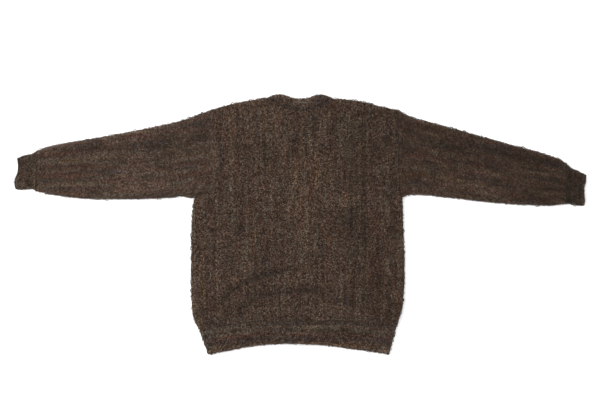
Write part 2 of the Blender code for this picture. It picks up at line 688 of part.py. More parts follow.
def cut(target, tool):
    """Cut one object out of another, and keep the cutter as a wire guide."""
    tool.display_type = "WIRE"
    tool.hide_render = True
    step = target.modifiers.new("cut_" + tool.name, "BOOLEAN")
    step.operation = "DIFFERENCE"
    step.object = tool


def make_button(number, place, band, finish, home, tools):
    """A four-hole button, flush with the table in a dent that it makes in the soft band."""
    button = cylinder(f"button_{number}", BUTTON_RADIUS, 0.0, BUTTON_THICK, place, BUTTON_SIDES, home)
    button.data.materials.append(finish)
    dent = cylinder(f"dent_{number}", BUTTON_RADIUS + GAP, -CUT_PAST, BUTTON_THICK + GAP, place,
                    BUTTON_SIDES, tools)
    cut(band, dent)
    for k, (across, up) in enumerate(((-1, -1), (-1, 1), (1, -1), (1, 1))):
        spot = Point(place.x + across * HOLE_OFFSET, place.y + up * HOLE_OFFSET)
        hole = cylinder(f"hole_{number}_{k}", HOLE_RADIUS, -CUT_PAST, BUTTON_THICK + CUT_PAST, spot,
                        HOLE_SIDES, tools)
        cut(button, hole)


def main():
    for item in list(bpy.data.objects):
        bpy.data.objects.remove(item)
    home = collection("striped_cardigan")
    tools = collection("cutters")
    body = material("body_knit", BODY_COLOR, KNIT_ROUGHNESS)
    sleeve = material("sleeve_knit", SLEEVE_COLOR, KNIT_ROUGHNESS)
    rib = material("rib_knit", RIB_COLOR, KNIT_ROUGHNESS)
    horn = material("button_horn", BUTTON_COLOR, BUTTON_ROUGHNESS)

    back_plan = make_back(body, home)
    make_hem_back(back_plan, rib, home)
    make_neckband(rib, home)
    bands = {}
    for side in (-1, 1):
        front_plan = make_front(side, body, home)
        hem_plan = make_hem_front(side, front_plan, rib, home)
        bands[side] = make_band(side, front_plan, hem_plan, rib, home)
        make_sleeve(side, sleeve, home)
        make_cuff(side, rib, home)
    for number in range(1, BUTTON_COUNT + 1):
        y = blend(BUTTON_FIRST_Y, BUTTON_LAST_Y, (number - 1) / (BUTTON_COUNT - 1))
        make_button(number, Point(BAND_X, y), bands[-1], horn, home, tools)


main()
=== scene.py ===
"""Looks of a looped-yarn cardigan that lies flat on a table with its back up.

Sizes are in millimetres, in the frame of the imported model, and MM turns them into metres. +Y is towards
the neck, and the wearer's left is at -X. Each piece of cloth is a thin shell on its solid's form, with a
fine side that shows and a plainer hidden side, and loops of yarn stand on it.
"""
from collections import namedtuple
from math import pi, radians

import bmesh
import bpy
import numpy as np
from mathutils import Matrix, Vector


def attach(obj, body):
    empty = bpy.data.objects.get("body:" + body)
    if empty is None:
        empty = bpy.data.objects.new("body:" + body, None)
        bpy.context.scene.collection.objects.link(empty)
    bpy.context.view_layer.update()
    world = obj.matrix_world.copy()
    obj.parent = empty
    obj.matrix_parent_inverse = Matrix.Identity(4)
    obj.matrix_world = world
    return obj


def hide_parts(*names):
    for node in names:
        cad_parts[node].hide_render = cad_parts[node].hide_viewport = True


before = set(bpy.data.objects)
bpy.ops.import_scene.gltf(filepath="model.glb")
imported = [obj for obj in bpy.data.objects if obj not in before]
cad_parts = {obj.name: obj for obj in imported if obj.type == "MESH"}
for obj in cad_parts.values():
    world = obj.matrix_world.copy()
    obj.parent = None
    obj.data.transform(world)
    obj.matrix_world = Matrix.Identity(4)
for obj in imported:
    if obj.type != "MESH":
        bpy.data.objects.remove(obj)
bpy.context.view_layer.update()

MM = 0.001
LEFT, RIGHT = -1, 1
OUTER = {LEFT: 0, RIGHT: -1}  # place in a row, from low X to high X, that is farthest out on each side
Point = namedtuple("Point", "x y")


def outline(*places):
    """Points of a line, from pairs of numbers."""
    return tuple(Point(float(x), float(y)) for x, y in places)


# Cloth
WALL = 4.0
GAP = 0.3
BACK_LEVEL = WALL + GAP
TUBE_MIDDLE = WALL + GAP / 2
EDGE_WALL = 1.2
THINNEST = 0.8
TOP_ROUND = 16.0
FLOOR_ROUND = 6.0
SEAM_INSET = 5.0
ARMHOLE_GAP = 0.7
NORMAL_REACH = 5.0  # half of the stretch of an armhole that its direction is measured on
FAR = 99.0  # a distance at which no border is felt

# Distances from a tube's two edges at which its folds, its soft creases and its hollows start and are full
TUBE_FOLD_REACH = (4.0, 30.0)
TUBE_CREASE_REACH = (2.0, 14.0)
TUBE_HOLLOW_REACH = (2.0, 8.0)
TUBE_EDGE_LIFT = 2.0  # added to that distance where a tube's relief is calmed

# Outlines of the body, from the middle of the garment
UNDERARM = {LEFT: Point(-289.0, 72.0), RIGHT: Point(279.0, 74.0)}
UNDERARM_TURN = 200.0  # half of the run over which the row between them turns to the other's height
SIDE = {
    LEFT: outline((-275, -291), (-287, -268), (-295.5, -235), (-298.5, -160), (-298, -60), (-295.5, 20),
                  (-292, 60), UNDERARM[LEFT]),
    RIGHT: outline((262.5, -281), (273, -250), (281.5, -208), (285, -120), (283, -43), (280.5, 20),
                   (279.5, 60), UNDERARM[RIGHT]),
}
ARMHOLE = {
    LEFT: outline((-262, 81), (-242, 92), (-232, 107), (-230, 135), (-233, 180), (-236, 240),
                  (-236.5, 316.5)),
    RIGHT: outline((274, 84), (271.5, 98), (270.5, 115), (270.5, 150), (270, 190), (268, 250),
                   (265.5, 313)),
}
SHOULDERS = outline((-236.5, 316.5), (-180, 331.5), (-125, 341.7), (-92, 347.5), (92, 344.5), (150, 339),
                    (190, 332), (208, 325.5), (265.5, 313))
HEM_SEAM = outline((-275, -291), (-240, -283.5), (-185, -273), (-116, -267), (0, -265), (95, -265),
                   (165, -269), (262.5, -281))
HEM_EDGE = outline((-252, -356), (-207, -346.5), (-125, -332.5), (-42, -326.5), (40, -329), (123, -338),
                   (205, -349.5), (242.5, -356.5))
HEM_SEAM_Y, HEM_EDGE_Y = HEM_SEAM[4].y, HEM_EDGE[3].y  # their heights near the middle
HEM_DEPTH = HEM_SEAM_Y - HEM_EDGE_Y

# Upper and lower edges of the sleeves from the armhole out, and of the cuffs, with their open ends
SLEEVE_TOP = {
    LEFT: outline((-290, 296.5), (-345, 279), (-440, 259), (-550, 238), (-655, 220), (-700, 210),
                  (-722, 201.5)),
    RIGHT: outline((305, 293.5), (357, 279.5), (440, 256.5), (550, 225.3), (659, 195.4), (712, 177.5),
                   (733, 163.5)),
}
SLEEVE_LOW = {
    LEFT: outline((-306, 73), (-330, 78), (-360, 73.8), (-500, 69.8), (-580, 71), (-660, 79.5),
                  (-725, 91.5)),
    RIGHT: outline((300, 81.3), (330, 81.8), (384, 77), (500, 64), (605, 55), (690, 53), (729, 57.5)),
}
CUFF_TOP = {
    LEFT: outline((-722.3, 201.4), (-738, 193.5), (-757, 189.5), (-777, 181.5)),
    RIGHT: outline((733.3, 163.3), (745, 153.5), (764, 145), (784.5, 135.5)),
}
CUFF_LOW = {
    LEFT: outline((-725.3, 91.6), (-738, 97.5), (-760, 96.3), (-780.5, 96.5)),
    RIGHT: outline((729.3, 57.4), (742, 56), (760, 52.5), (777, 51)),
}
CUFF_END = {
    LEFT: outline((-780.5, 96.5), (-784.5, 108), (-783.5, 125), (-776, 143), (-774.5, 160),
                  (-777, 181.5)),
    RIGHT: outline((777, 51), (781, 67), (779.5, 82), (778.5, 97), (784, 122), (784.5, 135.5)),
}

# Height of a tube's upper side at shares of its length
SLEEVE_CROWN = outline((0.0, 8.3), (0.12, 9.6), (0.4, 10.2), (0.75, 10.6), (0.93, 10.8), (1.0, 9.2))
CUFF_CROWN = outline((0.0, 9.0), (0.3, 8.6), (0.7, 8.9), (1.0, 8.4))
MOUTH_DROP = 1.3
MOUTH_ROUND = 3.0

# Neck
NECK_HALF = 91.5
NECK_TIP = 87.5
NECK_SEAM_Y = 313.5
NECK_SEAM_POWER = 2.2
NECK_EDGE_Y = 344.2
NECK_EDGE_RISE = 3.3
NECK_LOW_HALF = 4.0
NECK_CLIMB_HALF = 28.0
NECK_LEVEL_HALF = 30.0
NECKBAND_ROUND = 11.2
HUMP_OFFSET = 57.0
HUMP_RISE = 9.0
HUMP_HALF = 33.0
HUMP_POWER = 1.2
HUMP_ROLL = 1.6
NECK_DIPS = ((-74.0, 22.0, 1.2), (-22.0, 24.0, 0.8), (43.0, 26.0, 1.3))  # place, half width, extra depth
NECK_DEEPEST = 1.6

# Front opening
BAND_HALF = 16.0
BAND_TOP_HALF = 24.0
BAND_X = -4.0
BAND_LEAN = 63.0
BAND_LEAN_POWER = 1.12
BAND_WIDEN_Y = 240.0
BAND_END_SHARE = 0.06  # share of a band's length in which its rows turn to the line of its end
V_BOTTOM_Y = 70.0
V_TOP_Y = 345.0
PARTED_Y = 158.0
LEVEL_Y = 215.0
BAND_PLATEAU = 19.0
RAMP = 16.0
BACK_PLATEAU = 21.5
BACK_RAMP = 52.0
BACK_LATE_Y = 18.0
V_SAG = 3.0
V_SAG_START = 10.0
V_SAG_RUN = 18.0
V_DEEP_Y = 285.0

# Hem band, and the blousing of the back above it
HEM_ROUND = 8.0
HEM_SWELL = 55.0
HEM_SWELL_HEIGHT = 0.5
BLOUSE = 2.4
BLOUSE_RISE = 24.0
BLOUSE_HOLD = 48.0
BLOUSE_FADE = 120.0

# Buttons, with the radius and height of their turned outline and the way of a stitch across two holes
BUTTON_COUNT = 5
BUTTON_RADIUS = 11.0
BUTTON_THICK = 2.4
BUTTON_FIRST_Y = -294.0
BUTTON_LAST_Y = 54.0
BUTTON_DENT = (0.6, 3.4)  # how far outside a button its dent starts to fade and ends
BUTTON_OUTLINE = outline((0, 0.6), (5.6, 0.6), (7.2, 0.35), (8.6, 0.05), (9.6, 0), (10.5, 0.25),
                         (10.9, 0.8), (11, 1.4), (10.8, 2), (10.2, 2.35), (0, 2.4))
BUTTON_STEPS = 48
SHARP_ANGLE = radians(40)
HOLE_RADIUS = 1.1
HOLE_OFFSET = 2.6
HOLE_SIDES = 16
DRILL_LENGTH = 8
STITCH_RADIUS = 0.32
STITCH_SIDES = 6
STITCH_TINT = 0.5
STITCH = outline((-2.6, 3.4), (-2.6, 1.5), (-2.4, 0.8), (-1.3, 0.45), (1.3, 0.45), (2.4, 0.8), (2.6, 1.5),
                 (2.6, 3.4))

# Folds: ridges of cloth, each over three points along its crest. On the left of that line a ridge falls
# away over its gentle reach, and on the right over its steep one.
Fold = namedtuple("Fold", "start top end gentle steep height")
BACK_FOLDS = (
    Fold((-227, -205), (-144, -144), (-45, -113), 32, 18, 5.4),
    Fold((-181, -232), (-24, -170), (143, -212), 28, 17, 5),
    Fold((-246, -262), (-20, -228), (238, -254), 19, 21, 2.6),
    Fold((232, -262), (248, -222), (256, -186), 20, 14, 3.2),
    Fold((-278, -212), (-268, -244), (-236, -276), 14, 14, 3),
    Fold((52, -40), (128, -64), (222, -42), 30, 24, 2.4),
    Fold((-272, 66), (-216, 122), (-160, 214), 28, 24, 2.8),
    Fold((190, 206), (226, 118), (262, 66), 28, 24, 2.8),
    Fold((-92, 312), (-62, 240), (-30, 160), 20, 20, 2),
    Fold((88, 312), (60, 236), (30, 160), 20, 20, 2.2),
)
SLEEVE_FOLDS = {
    LEFT: (
        Fold((-640, 158), (-420, 172), (-290, 160), 28, 26, 2),
        Fold((-380, 100), (-310, 114), (-250, 116), 26, 22, 1.8),
    ),
    RIGHT: (
        Fold((290, 176), (430, 156), (630, 122), 28, 26, 2),
        Fold((286, 108), (340, 118), (410, 108), 26, 22, 1.8),
    ),
}
FOLD_SAMPLES = 16

# Creases: a soft trough along a line, steep on the left of the line's direction and slack on its right,
# with a ridge beside it on each side
Crease = namedtuple("Crease", "line half_width depth near_ridge far_ridge")
SLACK = 1.7
CREASE_FADE_POWER = 0.6
CREASE_UNEVEN = 0.25
CREASE_WAVE = 34.0
UNDER_CREASE = 0.8  # share of a crease that the under side of the back follows
BACK_CREASES = (
    Crease(((-28, -124), (-77, -135), (-112, -146), (-156, -163), (-188, -182), (-207, -201),
           (-224, -222)), 14, 2.4, 0.3, 1),
    Crease(((152, -234), (82, -196), (30, -178), (-30, -185), (-94, -192), (-128, -203), (-150, -219),
           (-178, -250)), 18, 1.9, 0.2, 0.6),
    Crease(((236, -262), (243, -234), (250, -204)), 9, 1.7, 0.4, 0.3),
    Crease(((-262, -228), (-252, -252), (-232, -276)), 10, 1.2, 0.6, 0.2),
    Crease(((-286, 14), (-180, 19), (-60, 16), (60, 18)), 7, 0.8, 0.4, 0),
    Crease(((-290, -4), (-180, -2), (-60, -4), (60, -2)), 22, 0.6, 0, 0),
    Crease(((80, 46), (140, 42), (208, 47)), 8, 0.9, 0.7, 0),
    Crease(((76, 12), (140, 6), (212, 12)), 26, 0.7, 0, 0),
    Crease(((-262, 96), (-228, 136), (-200, 188)), 12, 0.8, 0.4, 0.3),
    Crease(((186, 190), (206, 132), (238, 92)), 12, 0.8, 0.4, 0.3),
    Crease(((-40, 300), (-28, 250), (-12, 190)), 14, 0.5, 0.3, 0.3),
    Crease(((30, 192), (38, 244), (52, 300)), 14, 0.6, 0.3, 0.3),
    Crease(((-270, -96), (-200, -84), (-120, -92)), 12, 0.5, 0.3, 0.3),
    Crease(((96, -118), (170, -104), (262, -116)), 12, 0.5, 0.3, 0.3),
)
SLEEVE_CREASES = {
    LEFT: (
        Crease(((-640, 122), (-520, 134), (-400, 136), (-300, 130)), 13, 0.8, 0.5, 0.3),
        Crease(((-372, 92), (-330, 112), (-292, 148)), 12, 0.8, 0.5, 0.3),
        Crease(((-700, 150), (-672, 166), (-640, 196)), 10, 0.7, 0.5, 0.3),
        Crease(((-560, 206), (-500, 214), (-430, 228)), 12, 0.6, 0.4, 0.2),
        Crease(((-352, 252), (-318, 214), (-286, 190)), 12, 0.8, 0.4, 0.3),
    ),
    RIGHT: (
        Crease(((310, 132), (400, 132), (520, 116), (650, 92)), 13, 0.8, 0.5, 0.3),
        Crease(((300, 150), (338, 118), (392, 94)), 12, 0.8, 0.5, 0.3),
        Crease(((650, 170), (684, 142), (714, 118)), 10, 0.7, 0.5, 0.3),
        Crease(((420, 232), (500, 212), (580, 184)), 12, 0.6, 0.4, 0.2),
        Crease(((290, 214), (330, 226), (376, 252)), 12, 0.8, 0.4, 0.3),
    ),
}
FRONT_CREASES = (
    Crease(((-240, -190), (-170, -150), (-80, -140)), 9, 1.3, 0, 0),
    Crease(((-210, -40), (-120, -60), (-50, -30)), 9, 1.1, 0, 0),
    Crease(((60, -180), (140, -160), (230, -190)), 9, 1.3, 0, 0),
    Crease(((70, 60), (150, 30), (240, 50)), 9, 1, 0, 0),
)

# Streaks of dye in the yarn: where each lies across the knitting, where it starts and ends along it, and
# its width. On the body and the bands these are millimetres. On the sleeves the place across and the
# width are hundredths of the sleeve's width, counted from its lower edge, and on the cuffs, where the
# streaks run round, the start and the end are.
# Some streaks are painted light: a highlight on the left armhole seam, shadows under the neckband and shade
# in creases of the back
Dye = namedtuple("Dye", "at start end width tone")
PALE = (1.25, 1.26, 1.27)
DARK = (0.68, 0.65, 0.60)
RUST_TONE = (1.10, 0.90, 0.85)
DARK_RUST = (0.80, 0.68, 0.64)
OLIVE_TONE = (0.97, 1.03, 0.93)
DARK_OLIVE = (0.69, 0.72, 0.63)
OCHRE_TONE = (1.25, 1.17, 1.01)
PLUM_TONE = (0.92, 0.84, 0.90)
DARK_PLUM = (0.72, 0.65, 0.68)
SLATE_TONE = (0.79, 0.82, 0.86)
PINK = (1.23, 1.12, 1.13)
MILKY = (1.17, 1.17, 1.16)
# painted highlight along the ridge of the left armhole seam, on the body and on the sleeve
ARMHOLE_HIGHLIGHT = (1.90, 1.87, 1.82)
DUSKY = (0.84, 0.82, 0.79)
VIOLET = (0.72, 0.70, 0.80)
FAINT_PALE = (1.07, 1.07, 1.07)
FAINT_DARK = (0.92, 0.92, 0.92)
SOFT_DARK = (0.90, 0.90, 0.90)
BODY_DYES_AND_PAINTED_LIGHT = (
    Dye(-270, -208, -43, 8, OCHRE_TONE), Dye(-246, -296, -203, 11, DARK_PLUM),
    Dye(-238, -159, -21, 9, DARK_PLUM), Dye(-237, 110, 300, 8, ARMHOLE_HIGHLIGHT),
    Dye(-224, 243, 309, 8, DARK_RUST), Dye(-214, 61, 166, 9, DARK_PLUM), Dye(-210, -269, -203, 9, DARK),
    Dye(-205, 204, 287, 8, PLUM_TONE), Dye(-204, -49, 17, 8, OCHRE_TONE),
    Dye(-180, 149, 287, 7, OCHRE_TONE), Dye(-174, 81, 177, 7, RUST_TONE),
    Dye(-166, -109, -38, 7, RUST_TONE), Dye(-160, -27, 34, 9, DARK_RUST), Dye(-147, 204, 314, 9, PALE),
    Dye(-131, 50, 182, 9, PLUM_TONE), Dye(-127, -104, -21, 8, OCHRE_TONE),
    Dye(-100, 254, 325, 8, OCHRE_TONE), Dye(-100, -214, -148, 12, PLUM_TONE),
    Dye(-97, 144, 232, 9, DARK_OLIVE), Dye(-90, -104, -38, 8, DARK_PLUM),
    Dye(-86, 100, 166, 8, OCHRE_TONE), Dye(-67, -84, 67, 9, OLIVE_TONE),
    Dye(-61, -175, -104, 9, PLUM_TONE), Dye(-58, 237, 309, 10, PINK), Dye(-45, -269, -203, 9, OLIVE_TONE),
    Dye(-38, 160, 232, 7, RUST_TONE), Dye(-20, 26, 160, 15, PALE), Dye(-12, 188, 248, 20, DARK),
    Dye(-12, 105, 182, 10, OCHRE_TONE), Dye(3, 1, 34, 8, RUST_TONE), Dye(14, -76, 177, 9, PALE),
    # Dye(38, 254, 331, 16, SLATE_TONE), below the neckband, is a painted shadow
    Dye(16, 177, 287, 8, DARK_OLIVE), Dye(33, 78, 144, 11, RUST_TONE), Dye(38, 254, 331, 16, SLATE_TONE),
    Dye(46, 122, 226, 8, OCHRE_TONE), Dye(49, -104, -16, 9, DARK_OLIVE), Dye(76, 116, 182, 8, OCHRE_TONE),
    Dye(79, -208, 56, 8, RUST_TONE), Dye(87, 45, 166, 8, PALE), Dye(92, 259, 342, 9, DARK_RUST),
    Dye(97, -197, -43, 9, PALE), Dye(112, -54, 37, 15, DARK), Dye(116, -225, -186, 15, SLATE_TONE),
    Dye(120, 100, 166, 7, DARK_RUST), Dye(123, 48, 94, 8, OCHRE_TONE), Dye(139, 50, 287, 8, DARK_OLIVE),
    Dye(141, -280, -148, 10, DARK_RUST), Dye(143, -49, 39, 16, DARK), Dye(156, 50, 204, 8, DARK),
    Dye(174, 50, 320, 12, DARK), Dye(176, -54, 39, 16, DARK), Dye(176, -219, -43, 9, DARK_OLIVE),
    Dye(194, 270, 342, 10, SLATE_TONE), Dye(196, -269, -82, 8, DARK_RUST),
    Dye(200, 56, 232, 11, PLUM_TONE), Dye(211, -208, 34, 20, DARK_RUST),
    Dye(216, -280, -148, 10, DARK_OLIVE), Dye(225, 111, 171, 7, DARK_OLIVE),
    Dye(236, 72, 149, 10, SLATE_TONE), Dye(242, 133, 221, 9, OLIVE_TONE), Dye(243, -269, -153, 11, DARK),
    Dye(262, -190, 30, 9, DARK_PLUM), Dye(10, -70, 240, 44, MILKY), Dye(50, 60, 190, 17, PALE),
    Dye(205, 176, 330, 66, DUSKY), Dye(146, -220, -60, 13, DUSKY), Dye(145, 54, 84, 60, PALE),
    Dye(145, 54, 72, 56, MILKY), Dye(-276, -275, -190, 24, DUSKY), Dye(-240, 120, 210, 16, MILKY),
    Dye(-276, -40, 100, 24, MILKY), Dye(52, 116, 190, 24, MILKY), Dye(20, 40, 190, 70, FAINT_PALE),
    Dye(140, 205, 300, 46, SOFT_DARK), Dye(-136, -222, -172, 26, DUSKY), Dye(66, -262, -215, 52, MILKY),
    Dye(51, -172, -136, 18, MILKY), Dye(240, -184, -122, 18, MILKY), Dye(145, -230, 200, 18, FAINT_DARK),
    Dye(-90, 225, 262, 14, MILKY), Dye(-229, -176, -130, 16, MILKY), Dye(148, 320, 350, 26, MILKY),
    # Dye(-165, -246, -222, ...), Dye(-202, -206, -188, ...) and Dye(-180, -192, -172, ...) lie in the
    # troughs of the back's two lowest creases: painted shade
    Dye(256, 96, 300, 14, DUSKY), Dye(280, 170, 300, 20, DUSKY), Dye(-165, -246, -222, 12, DARK),
    Dye(-202, -206, -188, 12, DUSKY), Dye(-180, -192, -172, 12, DUSKY), Dye(36, 100, 160, 28, MILKY),
    Dye(193, -44, -6, 16, DUSKY), Dye(145, -30, 26, 50, SOFT_DARK),
)
SLEEVE_DYES_AND_HIGHLIGHT = {
    LEFT: (
        Dye(10, 39, 60, 6, DARK_PLUM), Dye(13, 259, 342, 5, OLIVE_TONE), Dye(16, 314, 424, 5, PLUM_TONE),
        Dye(18, 149, 259, 8, PINK), Dye(27, 342, 479, 6, OLIVE_TONE), Dye(30, 17, 127, 4, RUST_TONE),
        Dye(31, 221, 314, 8, PINK), Dye(38, 358, 468, 8, RUST_TONE), Dye(40, 160, 270, 12, PALE),
        Dye(43, 23, 155, 4, DARK_RUST), Dye(53, 287, 397, 5, RUST_TONE), Dye(55, 380, 468, 6, DARK_RUST),
        Dye(66, 265, 424, 5, OCHRE_TONE), Dye(68, 0, 190, 20, DUSKY), Dye(8, 50, 300, 26, PALE),
        Dye(96, 190, 330, 14, MILKY), Dye(55, -16, 2, 90, ARMHOLE_HIGHLIGHT), Dye(57, 50, 165, 13, DUSKY),
        Dye(57, 100, 150, 9, DUSKY), Dye(52, 462, 500, 60, DUSKY), Dye(90, 150, 300, 14, MILKY),
        Dye(74, 28, 61, 6, DARK), Dye(75, 122, 232, 9, SLATE_TONE), Dye(82, 369, 468, 6, RUST_TONE),
        Dye(84, 287, 369, 8, DARK), Dye(90, 23, 56, 5, SLATE_TONE), Dye(94, 199, 259, 5, PLUM_TONE),
    ),
    RIGHT: (
        Dye(15, 9, 91, 6, SLATE_TONE), Dye(15, 311, 449, 9, DARK_RUST), Dye(22, 120, 284, 20, PALE),
        Dye(27, 20, 179, 6, OCHRE_TONE), Dye(32, 394, 476, 7, DARK_RUST), Dye(43, 284, 366, 6, PINK),
        Dye(44, 119, 284, 10, PALE), Dye(50, 9, 146, 5, RUST_TONE), Dye(52, 366, 462, 9, DARK_OLIVE),
        Dye(56, 201, 284, 5, DARK_RUST), Dye(60, 0, 53, 7, DARK_OLIVE), Dye(65, 58, 119, 6, PLUM_TONE),
        Dye(66, 339, 394, 7, DARK_OLIVE), Dye(72, 91, 185, 7, DARK_OLIVE), Dye(77, 311, 394, 10, DARK),
        Dye(82, 9, 75, 6, DARK_PLUM), Dye(83, 179, 284, 9, SLATE_TONE), Dye(84, 229, 394, 11, DARK),
        Dye(85, 394, 493, 14, SLATE_TONE), Dye(92, 0, 119, 7, DARK_RUST), Dye(92, 284, 449, 12, DARK),
        Dye(76, 120, 300, 26, DUSKY), Dye(6, -20, 120, 22, PALE), Dye(30, 375, 450, 34, DUSKY),
        Dye(36, 380, 440, 18, DUSKY), Dye(20, 20, 90, 12, PALE), Dye(24, 186, 240, 16, MILKY),
        Dye(12, 350, 450, 30, DUSKY),
    ),
}
HEM_DYES = (
    Dye(6, -262, 250, 9, SOFT_DARK), Dye(16, -262, 250, 7, PALE), Dye(24, -258, 246, 7, OLIVE_TONE),
    Dye(36, -256, 244, 9, RUST_TONE), Dye(48, -150, 150, 10, DARK_PLUM),
    Dye(64, -252, 242, 14, OCHRE_TONE), Dye(44, -256, -130, 8, PLUM_TONE),
    Dye(44, 130, 246, 8, PLUM_TONE), Dye(30, 40, 200, 9, DARK), Dye(46, -250, -140, 8, DUSKY),
    Dye(18, -120, 60, 16, MILKY), Dye(70, -262, 250, 14, MILKY),
)
# The two dark olive streaks just above the seam, from -90 to -56 and from -40 to -6, are painted shadow
# along the neckband's seam
NECK_DYES_AND_SHADOWS = (
    Dye(22, -76, -36, 18, PINK), Dye(14, 30, 74, 30, VIOLET), Dye(6, -90, -56, 12, DARK_OLIVE),
    Dye(8, -40, -6, 10, DARK_OLIVE), Dye(20, -30, 24, 20, MILKY),
)
CUFF_DYES = {
    LEFT: (
        Dye(9, 0, 100, 9, OCHRE_TONE), Dye(22, 0, 100, 8, DARK), Dye(37, 0, 100, 8, RUST_TONE),
    ),
    RIGHT: (
        Dye(9, 0, 100, 10, DARK), Dye(22, 0, 100, 9, DARK_PLUM), Dye(36, 0, 100, 12, DARK),
    ),
}
DYE_WANDER = 0.25  # how far a streak strays to its sides, as a share of its width
DYE_WAVE = 45.0  # length of its bends
DYE_FADE = 10.0  # how far a streak fades inside its ends
DYE_TAIL = 14.0  # how far it fades outside them
BAND_DYE_SHRINK = 2.0  # how many times narrower the hem band's streaks are on a front band

# Tones of whole pieces, and how much paler the yarn is painted near a free edge: a painted sheen of the fuzz
# there
BODY_TONE = (1.10, 0.99, 0.805)
# The right sleeve and cuff are darker than the left partly for their own tone and partly as painted shade,
# for light falling from the left
SLEEVE_TONE_AND_SHADE = {LEFT: (1.14, 1.078, 0.97), RIGHT: (0.915, 0.818, 0.68)}
CUFF_TONE_AND_SHADE = {LEFT: (0.77, 0.745, 0.62), RIGHT: (0.68, 0.62, 0.45)}
BAND_TONE = (1.015, 0.99, 0.867)
EDGE_SHEEN = 0.28
EDGE_SHEEN_REACH = 12.0

# Relief of the looped yarn
KNOB = 5.2  # distance between knobs
KNOB_HEIGHT = 1.5
LUMP = 11.0  # distance between the broader lumps under them
LUMP_HEIGHT = 0.8
LUMP_SEED = 5  # what is added to the knobs' seed for the lumps
KNOB_LEVEL = 0.6  # height of the smooth cloth as a share of a knob
HIDDEN_KNOB = 0.9  # heights on the sides that lie on the table
HIDDEN_LUMP = 0.4
SWELL = 70.0  # length of the soft swell of the whole cloth
SWELL_HEIGHT = 0.7
SWELL_WAVES = 9  # number of waves in a swell
SHORTEST_WAVE, LONGEST_WAVE = 0.7, 1.5  # their lengths as shares of the swell's
SWELL_LEVEL = 4.0  # what their sum is divided by
SEAM_DIP = 0.9  # how far cloth sinks into a seam
SEAM_REACH = 5.5
HIDDEN_DIP = 0.5  # share of that on the sides that lie on the table
TUBE_DIP = 0.6  # share of that on the under side of a tube
EDGE_STEPS = (0.0, 0.5, 1.3, 2.5, 4.2)  # distances of the first grid lines from an edge
FLAT_PAINTED_SHADE = 0.33  # shade painted on the cloth between its knobs and hollows
PAINTED_SHADE_RISE = 0.19  # how much paler it is painted for each millimetre that it rises: painted shade in hollows, painted highlight on knobs
CREASE_SHADE = 0.16  # how much darker the yarn is painted for each millimetre of a crease's depth: painted shade
RIDGE_HIGHLIGHT_SHARE = 0.5  # the same for its ridges, which are painted paler, as a share: painted highlight
SLEEVE_SCALE = 1.0  # size of a piece's knobs and lumps against the body's
CUFF_SCALE = 0.75
HEM_SCALE = 0.8
NECK_SCALE = 0.85
HIDDEN_LAYER = 40.0  # place of a hidden side's yarn beyond that of the side that shows
TUBE_LAYER = 70.0  # the same for the under side of a tube

# Share of the relief that is left at a border, and the distance over which it comes back
BACK_CALM = (0.7, 5.0)
HEM_CALM = (0.7, 4.0)
NECK_CALM = (0.5, 4.0)
TUBE_CALM = (0.5, 5.0)
HIDDEN_CALM = (0.4, 4.0)

# Distance between the grid lines of each piece's fine side
BACK_PITCH = 2.4
SLEEVE_PITCH = 2.3
CUFF_PITCH = 1.7
RIB_PITCH = 2.0
FRONT_PITCH = 3.4
BAND_PITCH = 2.4
NECK_PITCH = Point(1.7, 1.5)

# Loops of yarn. Radii are shares of a loop's size, and angles are degrees, with 90 at its top.
LOOP_ANGLES = (-30.0, 20.0, 90.0, 160.0, 210.0)
RIM_LOOP_ANGLES = (-35.0, 0.0, 35.0, 70.0, 110.0, 145.0, 180.0, 215.0)
LOOP_SIDES = 3
LOOP_SIZE = 1.9
BAND_LOOP_SIZE = 1.7
CUFF_LOOP_SIZE = 1.5
LOOP_LEAN = 0.55
LOOP_LEAN_UP = 0.6
LOOP_RADIUS = (0.75, 1.35)
LOOP_THICKNESS = (0.5, 0.9)
LOOP_SKEW = 0.8
LOOP_SINK = (0.1, 0.8)
LOOP_STRAY = 0.8
LOOP_SPACING = 4.7
LOOP_ROW_PLACE = (0.1, 0.9)  # where a row of loops lies in its own spacing
LOOP_WANDER = 0.5  # how far a loop strays from its row, in spacings
EDGE_LOOP_SPACING = 2.8
SEAM_LOOP_SPACING = 4.0
SMALLEST_LOOP = 0.8
EDGE_LOOP_GROWTH = 1.35
SEAM_LOOP_GROWTH = 0.5
GROWTH_POWER = 3  # how rare the largest loops of a border are
TABLE_CLEAR = 0.2  # least height of a loop over the table
LOWEST_FOOT = 2.2  # least height of the cloth that carries loops, where its fine side is up
EDGE_FOOT = 2.9  # the same at an edge that lies on the table
STEEPEST = -0.25  # how far the cloth of a tube may face down where it carries loops

# Seeds of each piece's knobs, streaks and loops, and the place of its yarn in the noise. A piece of one
# side adds that side to the seeds of its knobs and loops.
Seeds = namedtuple("Seeds", "knobs dye loops layer")
BACK_SEEDS = Seeds(1, 200, 11, 0.0)
HEM_BACK_SEEDS = Seeds(21, 300, 12, 200.0)
NECK_SEEDS = Seeds(31, 400, 13, 300.0)
FRONT_SEEDS = Seeds(41, 500, 50, 400.0)
FRONT_BAND_SEEDS = Seeds(61, 600, None, 500.0)
HEM_FRONT_SEEDS = Seeds(71, 700, 80, 700.0)
BAND_LAYER_STEP = 60.0
TUBE_LAYER_STEP = 31.0  # the place of a tube's yarn and the seed of its streaks for each step of its seed
TUBE_DYE_STEP = 10
SLEEVE_SEED = 90
CUFF_SEED = 120
BACK_SWELL_SEED = 3
TUBE_SWELL_SEED = 3  # what is added to a tube's seed for its swell, its hollows and its loops
TUBE_HOLLOW_SEED = 2
TUBE_LOOP_SEED = 7
HEM_SWELL_SEED = 9


def blend(a, b, share):
    """The value that lies this share of the way from one to another."""
    return a + (b - a) * share


